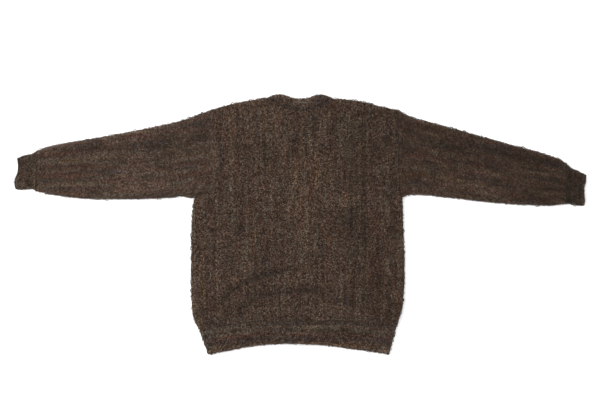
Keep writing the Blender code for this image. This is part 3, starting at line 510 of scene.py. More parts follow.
def smooth(value, start, end):
    """0 before the start, 1 after the end and a soft step between them."""
    share = np.clip((value - start) / (end - start), 0.0, 1.0)
    return share * share * (3.0 - 2.0 * share)


def round_off(distance, reach):
    """Share of full height that a rounded edge has at this distance from its brink."""
    share = np.clip(distance / reach, 0.0, 1.0)
    return np.sqrt(1.0 - (1.0 - share) ** 2)


def bump(distance, half_width):
    """1 at a distance of 0, falling softly to 0 at the half width."""
    return 0.5 + 0.5 * np.cos(pi * np.clip(np.abs(distance) / half_width, 0.0, 1.0))


def curve(keys, values, at):
    """Smooth curve through values at rising or falling keys, which never swings past a value."""
    keys, values = np.array(keys, float), np.array(values, float)
    if keys[0] > keys[-1]:
        keys, values = keys[::-1], values[::-1]
    at = np.clip(at, keys[0], keys[-1])
    span = np.diff(keys)
    slope = np.diff(values) / span
    before, after = slope[:-1], slope[1:]
    turning = before * after <= 0.0
    inner = np.where(turning, 0.0, 2.0 * before * after / np.where(turning, 1.0, before + after))
    tangent = np.concatenate([slope[:1], inner, slope[-1:]])
    i = np.clip(np.searchsorted(keys, at) - 1, 0, len(span) - 1)
    t = (at - keys[i]) / span[i]
    first = values[i] * (1.0 + 2.0 * t) * (1.0 - t) ** 2 + tangent[i] * span[i] * t * (1.0 - t) ** 2
    second = values[i + 1] * t * t * (3.0 - 2.0 * t) + tangent[i + 1] * span[i] * t * t * (t - 1.0)
    return first + second


def y_at(line, x):
    """Read an outline that runs from side to side."""
    return curve([p.x for p in line], [p.y for p in line], x)


def x_at(line, y):
    """Read an outline that runs up and down."""
    return curve([p.y for p in line], [p.x for p in line], y)


def along(line, shares):
    """Points at shares of an outline's length."""
    corners = np.array(line, float)
    lengths = np.concatenate([[0.0], np.cumsum(np.hypot(*np.diff(corners, axis=0).T))])
    at = shares * lengths[-1]
    return np.stack([curve(lengths, corners[:, 0], at), curve(lengths, corners[:, 1], at)], -1)


def body_edge(side, y):
    """Side of the body and its armhole above it."""
    return x_at(SIDE[side] + ARMHOLE[side], y)


def beside(x, y):
    """Distance to the nearer side of the body."""
    return np.minimum(x - body_edge(LEFT, y), body_edge(RIGHT, y) - x)


def shoulder(x):
    """Line of the shoulders, carried on across the neck."""
    return y_at(SHOULDERS, x)


def neck_seam(x):
    """Seam between the back and the neckband, which ends on the shoulders."""
    share = np.minimum(1.0, np.abs(x) / NECK_HALF)
    return blend(NECK_SEAM_Y, shoulder(np.where(x > 0, NECK_HALF, -NECK_HALF)), share ** NECK_SEAM_POWER)


def neck_edge(x):
    """Upper edge of the neckband, with a hump on each side where it turns over."""
    level = NECK_EDGE_Y + NECK_EDGE_RISE * smooth(np.abs(x), NECK_LOW_HALF, NECK_CLIMB_HALF)
    level = blend(level, shoulder(x), smooth(np.abs(x), NECK_LEVEL_HALF, NECK_HALF))
    reach = np.minimum(1.0, np.abs(np.abs(x) - HUMP_OFFSET) / HUMP_HALF)
    return level + HUMP_RISE * (1.0 - reach ** 2) ** HUMP_POWER


def band_middle(side, y):
    """Middle of a front band: both run up the front and part to the two shoulders."""
    share = np.clip((y - V_BOTTOM_Y) / (V_TOP_Y - V_BOTTOM_Y), 0.0, 1.0)
    return blend(BAND_X, 0.0, share) + side * BAND_LEAN * share ** BAND_LEAN_POWER


def band_half(y):
    """Half of a front band's width."""
    return blend(BAND_HALF, BAND_TOP_HALF, smooth(y, BAND_WIDEN_Y, V_TOP_Y))


def crossing(x, y, plateau=BAND_PLATEAU, ramp=RAMP, late=0.0):
    """How far cloth is lifted by the band on the table where the two front bands cross."""
    share = 1.0 - smooth(np.abs(x - BAND_X), plateau, plateau + ramp)
    return BACK_LEVEL * share * (1.0 - smooth(y, PARTED_Y + late, LEVEL_Y + late))


def sag(x, y):
    """Depth to which the back sinks between the parted bands."""
    inside = np.minimum(band_middle(RIGHT, y) - band_half(y) - x, x - band_middle(LEFT, y) - band_half(y))
    depth = V_SAG * smooth(inside - V_SAG_START, 0.0, V_SAG_RUN)
    return depth * smooth(y, LEVEL_Y + BACK_LATE_Y, V_DEEP_Y)


def nearest_on(line, x, y):
    """Distance to a line of points, positive on its left, and the share of its length there."""
    corners = np.array(line, float)
    spans = np.hypot(*np.diff(corners, axis=0).T)
    total, start = spans.sum(), 0.0
    best, share, left = np.full(x.shape, np.inf), np.zeros(x.shape), np.ones(x.shape)
    for a, b, span in zip(corners, corners[1:], spans):
        run = (b - a) / span
        t = np.clip((x - a[0]) * run[0] + (y - a[1]) * run[1], 0.0, span)
        off_x, off_y = x - a[0] - t * run[0], y - a[1] - t * run[1]
        distance = np.hypot(off_x, off_y)
        closer = distance < best
        best = np.where(closer, distance, best)
        share = np.where(closer, (start + t) / total, share)
        left = np.where(closer, np.where(run[0] * off_y - run[1] * off_x < 0.0, -1.0, 1.0), left)
        start += span
    return best * left, share


def fold_lift(folds, x, y):
    """Lift of the cloth over its ridges."""
    total = np.zeros(x.shape)
    t = np.linspace(0.0, 1.0, FOLD_SAMPLES + 1)[:, None]
    for fold in folds:
        start, top, end = (np.array(p, float) for p in (fold.start, fold.top, fold.end))
        pull = 2.0 * top - 0.5 * (start + end)
        crest = start * (1 - t) ** 2 + 2 * pull * t * (1 - t) + end * t * t
        distance, share = nearest_on(crest, x, y)
        reach = np.where(distance > 0.0, fold.gentle, fold.steep)
        total += fold.height * np.sqrt(np.clip(np.sin(pi * share), 0.0, 1.0)) * bump(distance, reach)
    return total


def crease_lift(creases, x, y):
    """Troughs and their ridges, which come and go along each crease."""
    total = np.zeros(x.shape)
    for number, crease in enumerate(creases):
        distance, share = nearest_on(crease.line, x, y)
        fade = np.sin(pi * np.clip(share, 0.0, 1.0)) ** CREASE_FADE_POWER
        fade = fade * (1.0 + CREASE_UNEVEN * swell(x, y, CREASE_WAVE, number))
        slack = SLACK * crease.half_width
        total -= crease.depth * fade * bump(distance, np.where(distance > 0.0, crease.half_width, slack))
        total += crease.near_ridge * fade * bump(distance - crease.half_width, crease.half_width)
        total += crease.far_ridge * fade * bump(distance + slack, slack)
    return total


def swell(x, y, length, seed):
    """Soft uneven rise and fall, about -1 to 1, of waves about this long in every direction."""
    draw = np.random.default_rng(seed)
    total = np.zeros(np.shape(x))
    least, most = (0.0, 0.0, SHORTEST_WAVE), (pi, 2.0 * pi, LONGEST_WAVE)
    for turn, phase, size in draw.uniform(least, most, (SWELL_WAVES, 3)):
        total += np.sin(2.0 * pi * (x * np.cos(turn) + y * np.sin(turn)) / (length * size) + phase)
    return total / SWELL_LEVEL


def scatter(a, b, seed):
    """A number from 0.1 to 0.9 that looks random and depends on two whole numbers."""
    mixed = np.sin(a * 127.1 + b * 311.7 + seed * 74.7) * 43758.5453
    return 0.1 + 0.8 * (mixed - np.floor(mixed))


def knobs(u, v, size, seed):
    """Rounded knobs on an uneven grid: 1 on top of a knob, 0 between them."""
    column, row = np.floor(u / size), np.floor(v / size)
    nearest = np.full(np.shape(u), np.inf)
    for a in (-1, 0, 1):
        for b in (-1, 0, 1):
            off_u = column + a + scatter(column + a, row + b, seed) - u / size
            off_v = row + b + scatter(row + b, column + a, seed + 1) - v / size
            nearest = np.minimum(nearest, off_u ** 2 + off_v ** 2)
    return 1.0 - np.clip(nearest, 0.0, 1.0)


def yarn_relief(u, v, seed, scale=1.0):
    """Height of the looped yarn over the smooth cloth, from about -1.4 to 0.9 millimetres."""
    fine = knobs(u, v, KNOB * scale, seed) - KNOB_LEVEL
    broad = knobs(u, v, LUMP * scale, seed + LUMP_SEED) - KNOB_LEVEL
    return scale * (KNOB_HEIGHT * fine + LUMP_HEIGHT * broad)


def calmer(distance, calm):
    """Share of its relief that the yarn keeps at this distance from a border."""
    least, reach = calm
    return blend(least, 1.0, smooth(distance, 0.0, reach))


def hidden_relief(u, v, seed, distance):
    """How far the yarn's hollows rise from the table on a side that lies on it."""
    fine, broad = 1.0 - knobs(u, v, KNOB, seed), 1.0 - knobs(u, v, LUMP, seed + LUMP_SEED)
    return (HIDDEN_KNOB * fine + HIDDEN_LUMP * broad) * calmer(distance, HIDDEN_CALM)


def dyed_and_painted(dyes, tone, across, lengthways, seed):
    """Tone of the yarn: the piece's own, turned to each streak's inside that streak. Some streaks are
    painted shade or painted highlight.
    """
    total = np.ones(across.shape + (3,)) * tone
    for number, dye in enumerate(dyes):
        wander = DYE_WANDER * dye.width * swell(lengthways, across, DYE_WAVE, seed + number)
        run = smooth(lengthways, dye.start - DYE_TAIL, dye.start + DYE_FADE)
        run = run * (1.0 - smooth(lengthways, dye.end - DYE_FADE, dye.end + DYE_TAIL))
        share = run * bump(across - dye.at - wander, dye.width)
        total *= blend(1.0, np.array(dye.tone), share[..., None])
    return total


def painted_edge_sheen(edge):
    """Painted sheen: how much paler the yarn is painted at a distance from a free edge."""
    return (1.0 + EDGE_SHEEN * (1.0 - smooth(edge, 0.0, EDGE_SHEEN_REACH)))[..., None]


def crease_painted_shade(lift):
    """Painted shade: how much darker the yarn is painted in the trough of a crease, and painted highlight:
    how much paler on its ridges.
    """
    return (1.0 + CREASE_SHADE * np.where(lift < 0.0, lift, RIDGE_HIGHLIGHT_SHARE * lift))[..., None]


def yarn_of(across, lengthways, layer, tones):
    """Place in the knitting and tone of the yarn, with the shade and highlight painted into it, side by side
    in one grid.
    """
    return np.concatenate([np.stack([across, lengthways, np.full(across.shape, layer)], -1), tones], -1)


def seam_dip(distance):
    """How far cloth sinks at this distance from a seam."""
    return SEAM_DIP * (1.0 - smooth(distance, 0.0, SEAM_REACH))


def blouse(x, y):
    """Lift of the back where it bags out over the hem band."""
    above = y - y_at(HEM_SEAM, x)
    return BLOUSE * smooth(above, 0.0, BLOUSE_RISE) * (1.0 - smooth(above, BLOUSE_HOLD, BLOUSE_FADE))


def back_floor(x, y):
    """Under side of the top layer: on the fronts, over the crossed bands and into the V."""
    lift = crossing(x, y, BACK_PLATEAU, BACK_RAMP, BACK_LATE_Y)
    lift = lift + fold_lift(BACK_FOLDS, x, y) + blouse(x, y)
    return BACK_LEVEL + lift - sag(x, y)


def free_edge(x, y):
    """Distance to the nearest edge where the body turns over: a side or a shoulder."""
    reach = np.where(np.abs(x) > NECK_HALF, shoulder(x) - y, TOP_ROUND)
    return np.maximum(0.0, np.where(y < UNDERARM[LEFT].y, np.minimum(reach, beside(x, y)), reach))


def hem_edge(x, y):
    """Distance to the nearest free edge of the hem band."""
    share = (y - HEM_EDGE[0].y) / (HEM_SEAM[0].y - HEM_EDGE[0].y)
    left, right = (blend(HEM_EDGE[end].x, HEM_SEAM[end].x, share) for end in (0, -1))
    return np.maximum(0.0, np.minimum(np.minimum(x - left, right - x), y - y_at(HEM_EDGE, x)))


def top_wall(edge, reach=TOP_ROUND):
    """Thickness of a top layer at a distance from its free edge."""
    return blend(EDGE_WALL, WALL, round_off(edge, reach))


def table_side(edge):
    """Under side of a bottom layer, which lies flat on the table and turns up at its free edge."""
    return WALL - blend(EDGE_WALL, WALL, round_off(edge, FLOOR_ROUND))


def underarm_line(x):
    """Height of the row that joins the two underarms."""
    return blend(UNDERARM[LEFT].y, UNDERARM[RIGHT].y, smooth(x, -UNDERARM_TURN, UNDERARM_TURN))


def spaced(length, pitch, start=True, end=True):
    """Shares of a length about one pitch apart, closer together near the ends that are asked for."""
    low = EDGE_STEPS if start else (0.0,)
    high = EDGE_STEPS if end else (0.0,)
    middle = length - low[-1] - high[-1]
    count = max(1, int(round(middle / pitch)))
    places = list(low[:-1]) + list(low[-1] + middle * np.arange(count + 1) / count)
    places += [length - step for step in high[-2::-1]]
    return np.array(places) / length


def body_rows(pitch, top_edge):
    """Rows of a body panel: each is its height over any place, from the hem seam to the top."""
    def lower(share):
        return lambda x: blend(y_at(HEM_SEAM, x) + GAP, underarm_line(x), share)

    def upper(share):
        return lambda x: blend(underarm_line(x), top_edge(x), share)

    below = UNDERARM[LEFT].y - HEM_SEAM_Y
    above = SHOULDERS[0].y - UNDERARM[LEFT].y
    rows = [lower(share) for share in spaced(below, pitch, True, False)[:-1]]
    return rows + [upper(share) for share in spaced(above, pitch, False, True)]


def row_end(side, height):
    """End of a row at a side of the body."""
    return body_edge(side, height(SIDE[side][0].x))


def back_top(x):
    """Upper end of the back: the shoulders, and between them the seam under the neckband."""
    return np.where(np.abs(x) <= NECK_HALF, neck_seam(x) - GAP, shoulder(x))


def along_row(shape, row, columns=None):
    """Places in a grid along one of its rows, or along some of its columns there."""
    columns = np.arange(shape[1]) if columns is None else columns
    return np.full(len(columns), row % shape[0]), columns


def along_column(shape, column, rows=None):
    """Places in a grid along one of its columns, or along some of its rows there."""
    rows = np.arange(shape[0]) if rows is None else rows
    return rows, np.full(len(rows), column % shape[1])


def normals_of(points, wrap=False):
    """Unit normals of a grid of points: up where its columns run to the right and its rows away."""
    down_rows = np.gradient(points, axis=0)
    if wrap:
        across = (np.roll(points, -1, 1) - np.roll(points, 1, 1)) / 2.0
    else:
        across = np.gradient(points, axis=1)
    normal = np.cross(across, down_rows)
    return normal / np.maximum(1e-9, np.linalg.norm(normal, axis=-1, keepdims=True))


def kept(count, stride=4):
    """Every few grid lines, with the last."""
    return sorted(set(range(0, count, stride)) | {count - 1})


def quads_of(rows, columns, first, wrap):
    """Faces of a grid of corners that starts at one number."""
    i, j = np.meshgrid(np.arange(rows - 1), np.arange(columns if wrap else columns - 1), indexing="ij")
    nearer, farther = first + i * columns, first + (i + 1) * columns
    beyond = (j + 1) % columns
    return np.stack([nearer + j, nearer + beyond, farther + beyond, farther + j], -1).reshape(-1, 4).tolist()


def rims_of(rows, columns, wrap):
    """Places round each open border of a grid."""
    if wrap:
        return [[(0, j) for j in range(columns)], [(rows - 1, j) for j in range(columns)]]
    rim = [(0, j) for j in range(columns)] + [(i, columns - 1) for i in range(1, rows)]
    rim += [(rows - 1, j) for j in range(columns - 2, -1, -1)] + [(i, 0) for i in range(rows - 2, 0, -1)]
    return [rim]


def placed(name, data):
    """A new object in the scene."""
    made = bpy.data.objects.new(name, data)
    bpy.context.scene.collection.objects.link(made)
    return made


def mesh_of(name, work):
    """A mesh from a finished work copy."""
    mesh = bpy.data.meshes.new(name)
    work.to_mesh(mesh)
    work.free()
    return mesh


def add_mesh(name, corners, faces, yarn, tint, finish):
    """An object from corners in millimetres. For a loop its tone and painted shade is the loop's own random
    tone; for a shell it is shade painted from its relief, darker in hollows and paler on knobs.
    """
    mesh = bpy.data.meshes.new(name)
    mesh.from_pydata((corners * MM).tolist(), [], faces)
    work = bmesh.new()
    work.from_mesh(mesh)
    bmesh.ops.recalc_face_normals(work, faces=work.faces)
    work.to_mesh(mesh)
    work.free()
    mesh.shade_smooth()
    for label, values in (("flow", yarn[:, :3] * MM), ("dye", yarn[:, 3:])):
        mesh.attributes.new(label, "FLOAT_VECTOR", "POINT").data.foreach_set("vector", values.ravel())
    mesh.attributes.new("tint", "FLOAT", "POINT").data.foreach_set("value", tint)
    mesh.materials.append(finish)
    return placed(name, mesh)


def add_shell(name, fine, plain, yarn, relief, columns, finish, wrap=False):
    """A closed shell from its fine side and its plainer side, which uses only some grid lines."""
    rows, width = fine.shape[:2]
    keep_rows = kept(rows)
    spots = {(i, j): n for n, (i, j) in enumerate((i, j) for i in keep_rows for j in columns)}
    chosen = np.ix_(keep_rows, columns)
    first = rows * width
    faces = quads_of(rows, width, 0, wrap) + quads_of(len(keep_rows), len(columns), first, wrap)
    for rim in rims_of(rows, width, wrap):
        hub = first + spots[rim[0]]
        for a, b in zip(rim, rim[1:] + rim[:1]):
            faces.append([a[0] * width + a[1], b[0] * width + b[1], hub])
            if b in spots:
                faces.append([b[0] * width + b[1], first + spots[b], hub])
                hub = first + spots[b]
    corners = np.concatenate([fine.reshape(-1, 3), plain[chosen].reshape(-1, 3)])
    faces = [face for face in faces if len(set(face)) == len(face)]
    behind = yarn[chosen].reshape(-1, 6) + (0.0, 0.0, HIDDEN_LAYER, 0.0, 0.0, 0.0)
    # Shade painted from the relief: darker in the hollows, paler on the knobs, and flat on the hidden side
    tint = np.concatenate([relief.ravel(), np.zeros(len(behind))]) * PAINTED_SHADE_RISE + FLAT_PAINTED_SHADE
    yarn = np.concatenate([yarn.reshape(-1, 6), behind])
    return add_mesh(name, corners, faces, yarn, np.clip(tint, 0.0, 1.0), finish)


def sample(grid, rows, columns, wrap):
    """Values of a grid at places between its lines."""
    i = np.clip(np.floor(rows).astype(int), 0, grid.shape[0] - 2)
    j = np.floor(columns).astype(int)
    j = j % grid.shape[1] if wrap else np.clip(j, 0, grid.shape[1] - 2)
    beyond = (j + 1) % grid.shape[1]
    down, across = (rows - i)[:, None], (columns - np.floor(columns))[:, None]
    near = blend(grid[i, j], grid[i, beyond], across)
    far = blend(grid[i + 1, j], grid[i + 1, beyond], across)
    return blend(near, far, down)


def spots_along(line, spacing, draw):
    """Uneven places about one spacing apart along a line of points, as numbers of its points."""
    reach = np.concatenate([[0.0], np.cumsum(np.linalg.norm(np.diff(line, axis=0), axis=-1))])
    number = max(1, int(reach[-1] / spacing))
    at = (np.arange(number) + draw.uniform(0.0, 1.0, number)) / number * reach[-1]
    return np.interp(at, reach, np.arange(len(reach)))


def scattered(points, draw, wrap):
    """Places about one spacing apart all over a grid of points."""
    steps = np.linalg.norm(np.diff(points, axis=0), axis=-1).mean(1)
    travel = np.concatenate([[0.0], np.cumsum(steps)])
    count = int(travel[-1] / LOOP_SPACING)
    levels = (np.arange(count) + draw.uniform(*LOOP_ROW_PLACE, count)) / count * travel[-1]
    rows, columns = [], []
    for row in np.interp(levels, travel, np.arange(len(travel))):
        line = points[int(round(row))]
        if wrap:
            line = np.concatenate([line, line[:1]])
        spots = spots_along(line, LOOP_SPACING, draw)
        columns.append(spots)
        wander = draw.uniform(-LOOP_WANDER, LOOP_WANDER, len(spots)) * LOOP_SPACING / steps.mean()
        rows.append(np.clip(row + wander, 0.0, len(travel) - 1.0))
    return np.concatenate(rows), np.concatenate(columns)


def loop_faces(inner):
    """Triangles of one loop: a tip, some rings of corners and another tip."""
    last = inner * LOOP_SIDES + 1
    faces = []
    for side in range(LOOP_SIDES):
        next_side = (side + 1) % LOOP_SIDES
        faces.append((0, 1 + next_side, 1 + side))
        for ring in range(inner - 1):
            a, b = 1 + ring * LOOP_SIDES + side, 1 + ring * LOOP_SIDES + next_side
            faces += [(a, b, b + LOOP_SIDES), (a, b + LOOP_SIDES, a + LOOP_SIDES)]
        faces.append((last, last - LOOP_SIDES + side, last - LOOP_SIDES + next_side))
    return np.array(faces)


def add_loops(name, feet, normals, yarn, size, draw, finish, angles=LOOP_ANGLES):
    """Small closed loops of yarn that stand on the cloth at their feet."""
    count = len(feet)
    turn = draw.normal(size=(count, 3))
    out = normals + LOOP_LEAN * draw.normal(size=(count, 3)) * (1.0, 1.0, LOOP_LEAN_UP)
    out /= np.linalg.norm(out, axis=1, keepdims=True)
    run = np.cross(out, turn)
    run /= np.linalg.norm(run, axis=1, keepdims=True)
    across = np.cross(out, run)
    radius = size * draw.uniform(*LOOP_RADIUS, count)
    thickness = draw.uniform(*LOOP_THICKNESS, count) * np.sqrt(size / LOOP_SIZE)
    skew = draw.uniform(-LOOP_SKEW, LOOP_SKEW, count)
    sink = draw.uniform(*LOOP_SINK, count)
    rings = []
    for number, degrees in enumerate(angles):
        spoke = out * np.sin(radians(degrees)) + run * np.cos(radians(degrees))
        drift = (skew * radius * (degrees / 90.0 - 1.0))[:, None] * across
        middle = feet - out * sink[:, None] + spoke * radius[:, None] + drift
        if number in (0, len(angles) - 1):
            rings.append(middle)
            continue
        for side in range(LOOP_SIDES):
            spin = 2.0 * pi * side / LOOP_SIDES
            rings.append(middle + thickness[:, None] * (spoke * np.cos(spin) + across * np.sin(spin)))
    corners = np.stack(rings, 1)
    corners[..., 2] = np.maximum(corners[..., 2], TABLE_CLEAR)
    each = corners.shape[1]
    faces = (np.arange(count)[:, None, None] * each + loop_faces(len(angles) - 2)).reshape(-1, 3).tolist()
    shade = np.repeat(draw.uniform(0.0, 1.0, count), each)
    stray = np.pad(draw.normal(size=(count, 3)) * LOOP_STRAY, ((0, 0), (0, 3)))
    yarn = np.repeat(yarn + stray, each, axis=0)
    yarn[:, :3] += (corners - feet[:, None]).reshape(-1, 3)
    return add_mesh(name, corners.reshape(-1, 3), faces, yarn, shade, finish)


def cover_with_loops(piece, points, yarn, finish, wrap=False, sign=1.0, steepest=-1.0):
    """Loops all over a fine side, and rounder ones closer together along its edges and seams."""
    draw = np.random.default_rng(piece.seed)
    normals = sign * normals_of(points, wrap)
    rows, columns = scattered(points, draw, wrap)
    sizes, inside = np.full(len(rows), piece.size), len(rows)
    borders = [(line, EDGE_LOOP_SPACING, EDGE_LOOP_GROWTH) for line in piece.edges]
    borders += [(line, SEAM_LOOP_SPACING, SEAM_LOOP_GROWTH) for line in piece.seams]
    for (edge_rows, edge_columns), gap, growth in borders:
        at = spots_along(points[edge_rows, edge_columns], gap, draw)
        spots = np.arange(len(edge_rows))
        rows = np.concatenate([rows, np.interp(at, spots, edge_rows)])
        columns = np.concatenate([columns, np.interp(at, spots, edge_columns)])
        larger = SMALLEST_LOOP + growth * draw.uniform(0.0, 1.0, len(at)) ** GROWTH_POWER
        sizes = np.concatenate([sizes, piece.size * larger])
    feet, out, places = (sample(grid, rows, columns, wrap) for grid in (points, normals, yarn))
    out /= np.linalg.norm(out, axis=1, keepdims=True)
    good = (feet[:, 2] > LOWEST_FOOT) & (out[:, 2] > steepest)
    fill, rim = np.flatnonzero(good[:inside]), inside + np.flatnonzero(good[inside:])
    fill = fill[np.argsort(feet[fill, 0])]
    shares = np.array_split(fill, piece.parts)
    groups = [(part, chosen, LOOP_ANGLES) for part, chosen in enumerate(shares, 1)]
    groups.append(("rim", rim, RIM_LOOP_ANGLES))
    return [add_loops(f"{piece.name}_loops_{part}", feet[chosen], out[chosen], places[chosen], sizes[chosen],
                      draw, finish, angles) for part, chosen, angles in groups]


def edge_loops(piece, points, yarn, finish):
    """Loops along some edges of a panel whose fine side is down."""
    draw = np.random.default_rng(piece.seed)
    normals = -normals_of(points)
    rows, columns = [], []
    for edge_rows, edge_columns in piece.edges:
        pick = np.round(spots_along(points[edge_rows, edge_columns], EDGE_LOOP_SPACING, draw)).astype(int)
        rows.append(edge_rows[pick])
        columns.append(edge_columns[pick])
    spots = np.concatenate(rows), np.concatenate(columns)
    feet, out = points[spots], normals[spots]
    feet[:, 2] = np.maximum(feet[:, 2], EDGE_FOOT)
    out[:, 2] = np.maximum(out[:, 2], 0.0)
    out /= np.maximum(1e-6, np.linalg.norm(out, axis=1, keepdims=True))
    larger = SMALLEST_LOOP + EDGE_LOOP_GROWTH * draw.uniform(0.0, 1.0, len(feet)) ** GROWTH_POWER
    sizes = piece.size * larger
    return add_loops(piece.name + "_loops", feet, out, yarn[spots], sizes, draw, finish, RIM_LOOP_ANGLES)


def linear(red, green, blue):
    """A colour in the shader's own units from one on the usual scale of 255."""
    shares = np.array([red, green, blue]) / 255.0
    return (*np.where(shares <= 0.04045, shares / 12.92, ((shares + 0.055) / 1.055) ** 2.4).tolist(), 1.0)


def feed(tree, made, inputs):
    """Set the inputs of a node to values, or link them to sockets."""
    for key, value in inputs.items():
        if isinstance(value, bpy.types.NodeSocket):
            tree.links.new(value, made.inputs[key])
        else:
            made.inputs[key].default_value = value


def node(tree, kind, inputs, **settings):
    """A shader node."""
    made = tree.nodes.new(kind)
    for key, value in settings.items():
        setattr(made, key, value)
    feed(tree, made, inputs)
    return made


def finish_of(name):
    """A new material, with its tree and its shader."""
    made = bpy.data.materials.new(name)
    made.use_nodes = True
    return made, made.node_tree, made.node_tree.nodes["Principled BSDF"]


def ramp(tree, factor, stops, interpolation="LINEAR"):
    """Colour or shade read from a short table of places and colours."""
    made = node(tree, "ShaderNodeValToRGB", {"Fac": factor})
    made.color_ramp.interpolation = interpolation
    elements = made.color_ramp.elements
    while len(elements) < len(stops):
        elements.new(0.5)
    for element, (place, color) in zip(elements, stops):
        element.position = place
        element.color = color if hasattr(color, "__len__") else (color, color, color, 1.0)
    return made.outputs["Color"]


def toned(shade):
    """A shade of the yarn: dark ones, in its hollows, are redder than it and pale ones greyer."""
    return (shade ** HOLLOW_RED, shade, shade ** HOLLOW_BLUE, 1.0)


def times(tree, a, b):
    """Product of two colours."""
    return node(tree, "ShaderNodeVectorMath", {0: a, 1: b}, operation="MULTIPLY").outputs["Vector"]


# Colours of the yarn
UMBER = linear(60, 46, 37)
RUST = linear(86, 62, 50)
OLIVE = linear(73, 62, 50)
TAUPE = linear(84, 69, 59)
OCHRE = linear(89, 71, 53)
PLUM = linear(67, 53, 50)
SLATE = linear(56, 47, 43)
STREAK_COLORS = ((0.32, PLUM), (0.42, UMBER), (0.47, RUST), (0.52, UMBER), (0.56, OLIVE), (0.63, TAUPE),
                 (0.70, OCHRE))
THREAD_COLORS = ((0.30, SLATE), (0.42, OLIVE), (0.48, TAUPE), (0.54, UMBER), (0.60, RUST), (0.70, OCHRE))
THREAD_SHARE = 0.35

# Shades of the specks, the strands and the relief, and how a shade of grey turns into one of the yarn. The
# relief's hollows and the gaps between strands are painted darker, and its knobs paler: painted shade and
# highlight
SPECK_SHADES = ((0.0, 0.12), (0.25, 0.4), (0.5, 0.9), (0.8, 1.9), (0.95, 2.9), (1.0, 3.6))
STRAND_PAINTED_SHADES = ((0.0, 0.5), (0.4, 0.8), (1.0, 1.25))
TONE_AND_PAINTED_SHADES = ((0.0, 0.68), (0.15, 0.82), (0.33, 0.95), (0.6, 1.03), (0.85, 1.12), (1.0, 1.25))
STRAND_HEIGHTS = ((0.0, 0.35), (0.1, 0.45), (0.28, 1.0), (0.42, 1.0), (0.6, 0.15), (0.8, 0.0))
PATCH_SHADES = ((0.3, 0.90), (0.7, 1.10))
HOLLOW_RED = 0.74
HOLLOW_BLUE = 1.31

# Sizes in the yarn, in metres, with those of its streaks across and along. A scale is one over a size.
Streak = namedtuple("Streak", "across along")
BROAD_STREAK = Streak(0.013, 0.16)
BAND_STREAK = Streak(0.009, 0.16)
FINE_STREAK = Streak(0.005, 0.05)
SHADE_STREAK = Streak(0.009, 0.19)
PATCH = Streak(0.09, 0.09)
SMALL_PATCH = Streak(0.028, 0.028)
CURL = 0.0022
FRAY = 0.0040
FRAY_SCALE = 330.0
FIBRE_SCALE = 900.0
FIBRE_SHARE = 0.3
CURL_HEIGHT = 0.0014


def knit(name, broad, offset, light, contrast, faint):
    """Looped yarn with faint streaks of dyed colour, pale specks, and shade painted into its hollows."""
    made, tree, shader = finish_of(name)
    flow, dye = (node(tree, "ShaderNodeAttribute", {}, attribute_name=label).outputs["Vector"]
                 for label in ("flow", "dye"))
    tint = node(tree, "ShaderNodeAttribute", {}, attribute_name="tint").outputs["Fac"]

    def noise(streak, detail, shift):
        scale = (1.0 / streak.across, 1.0 / streak.along, 1.0 / streak.across)
        moved = node(tree, "ShaderNodeMapping", {"Vector": flow, "Scale": scale,
                                                 "Location": (offset + shift, shift * 3.1, offset)})
        return node(tree, "ShaderNodeTexNoise", {"Vector": moved.outputs["Vector"], "Scale": 1.0,
                                                 "Detail": detail, "Roughness": 0.55}).outputs["Fac"]

    def uneven(factor, shades):
        stops = [(place, toned(1.0 + contrast * (shade - 1.0))) for place, shade in shades]
        return ramp(tree, factor, stops)

    streaks = ramp(tree, noise(broad, 2.0, 0.0), STREAK_COLORS)
    threads = ramp(tree, noise(FINE_STREAK, 2.0, 17.0), THREAD_COLORS)
    mixed = node(tree, "ShaderNodeMix", {0: THREAD_SHARE, 6: streaks, 7: threads}, data_type="RGBA")
    rough = node(tree, "ShaderNodeTexNoise", {"Vector": flow, "Scale": FRAY_SCALE, "Detail": 3.0})
    frayed = node(tree, "ShaderNodeVectorMath", {0: rough.outputs["Color"], 1: (FRAY, FRAY, FRAY), 2: flow},
                  operation="MULTIPLY_ADD").outputs["Vector"]
    cells = node(tree, "ShaderNodeTexVoronoi", {"Vector": frayed, "Scale": 1.0 / CURL},
                 voronoi_dimensions="2D")
    speck = node(tree, "ShaderNodeSeparateColor", {0: cells.outputs["Color"]}).outputs[0]
    # The strands are the yarn's rings, and the gaps between them are painted darker: painted shade
    strand = ramp(tree, cells.outputs["Distance"], STRAND_HEIGHTS, "EASE")
    shades = (
        dye,
        ramp(tree, noise(SHADE_STREAK, 1.0, 53.0), ((0.32, 1.0 - faint), (0.68, 1.0 + faint))),
        ramp(tree, noise(PATCH, 2.0, 31.0), PATCH_SHADES),
        ramp(tree, noise(SMALL_PATCH, 2.0, 71.0), PATCH_SHADES),
        uneven(speck, SPECK_SHADES),
        uneven(strand, STRAND_PAINTED_SHADES),
        uneven(tint, TONE_AND_PAINTED_SHADES),
        (light, light, light),
    )
    color = mixed.outputs[2]
    for shade in shades:
        color = times(tree, color, shade)
    fibre = node(tree, "ShaderNodeTexNoise", {"Vector": flow, "Scale": FIBRE_SCALE, "Detail": 3.0})
    height = node(tree, "ShaderNodeMath", {0: fibre.outputs["Fac"], 1: FIBRE_SHARE, 2: strand},
                  operation="MULTIPLY_ADD").outputs[0]
    relief = node(tree, "ShaderNodeBump", {"Strength": 0.9, "Distance": CURL_HEIGHT, "Height": height})
    feed(tree, shader, {"Base Color": color, "Normal": relief.outputs["Normal"], "Roughness": 0.92,
                        "Specular IOR Level": 0.06, "Sheen Weight": 0.08, "Sheen Roughness": 0.5})
    return made


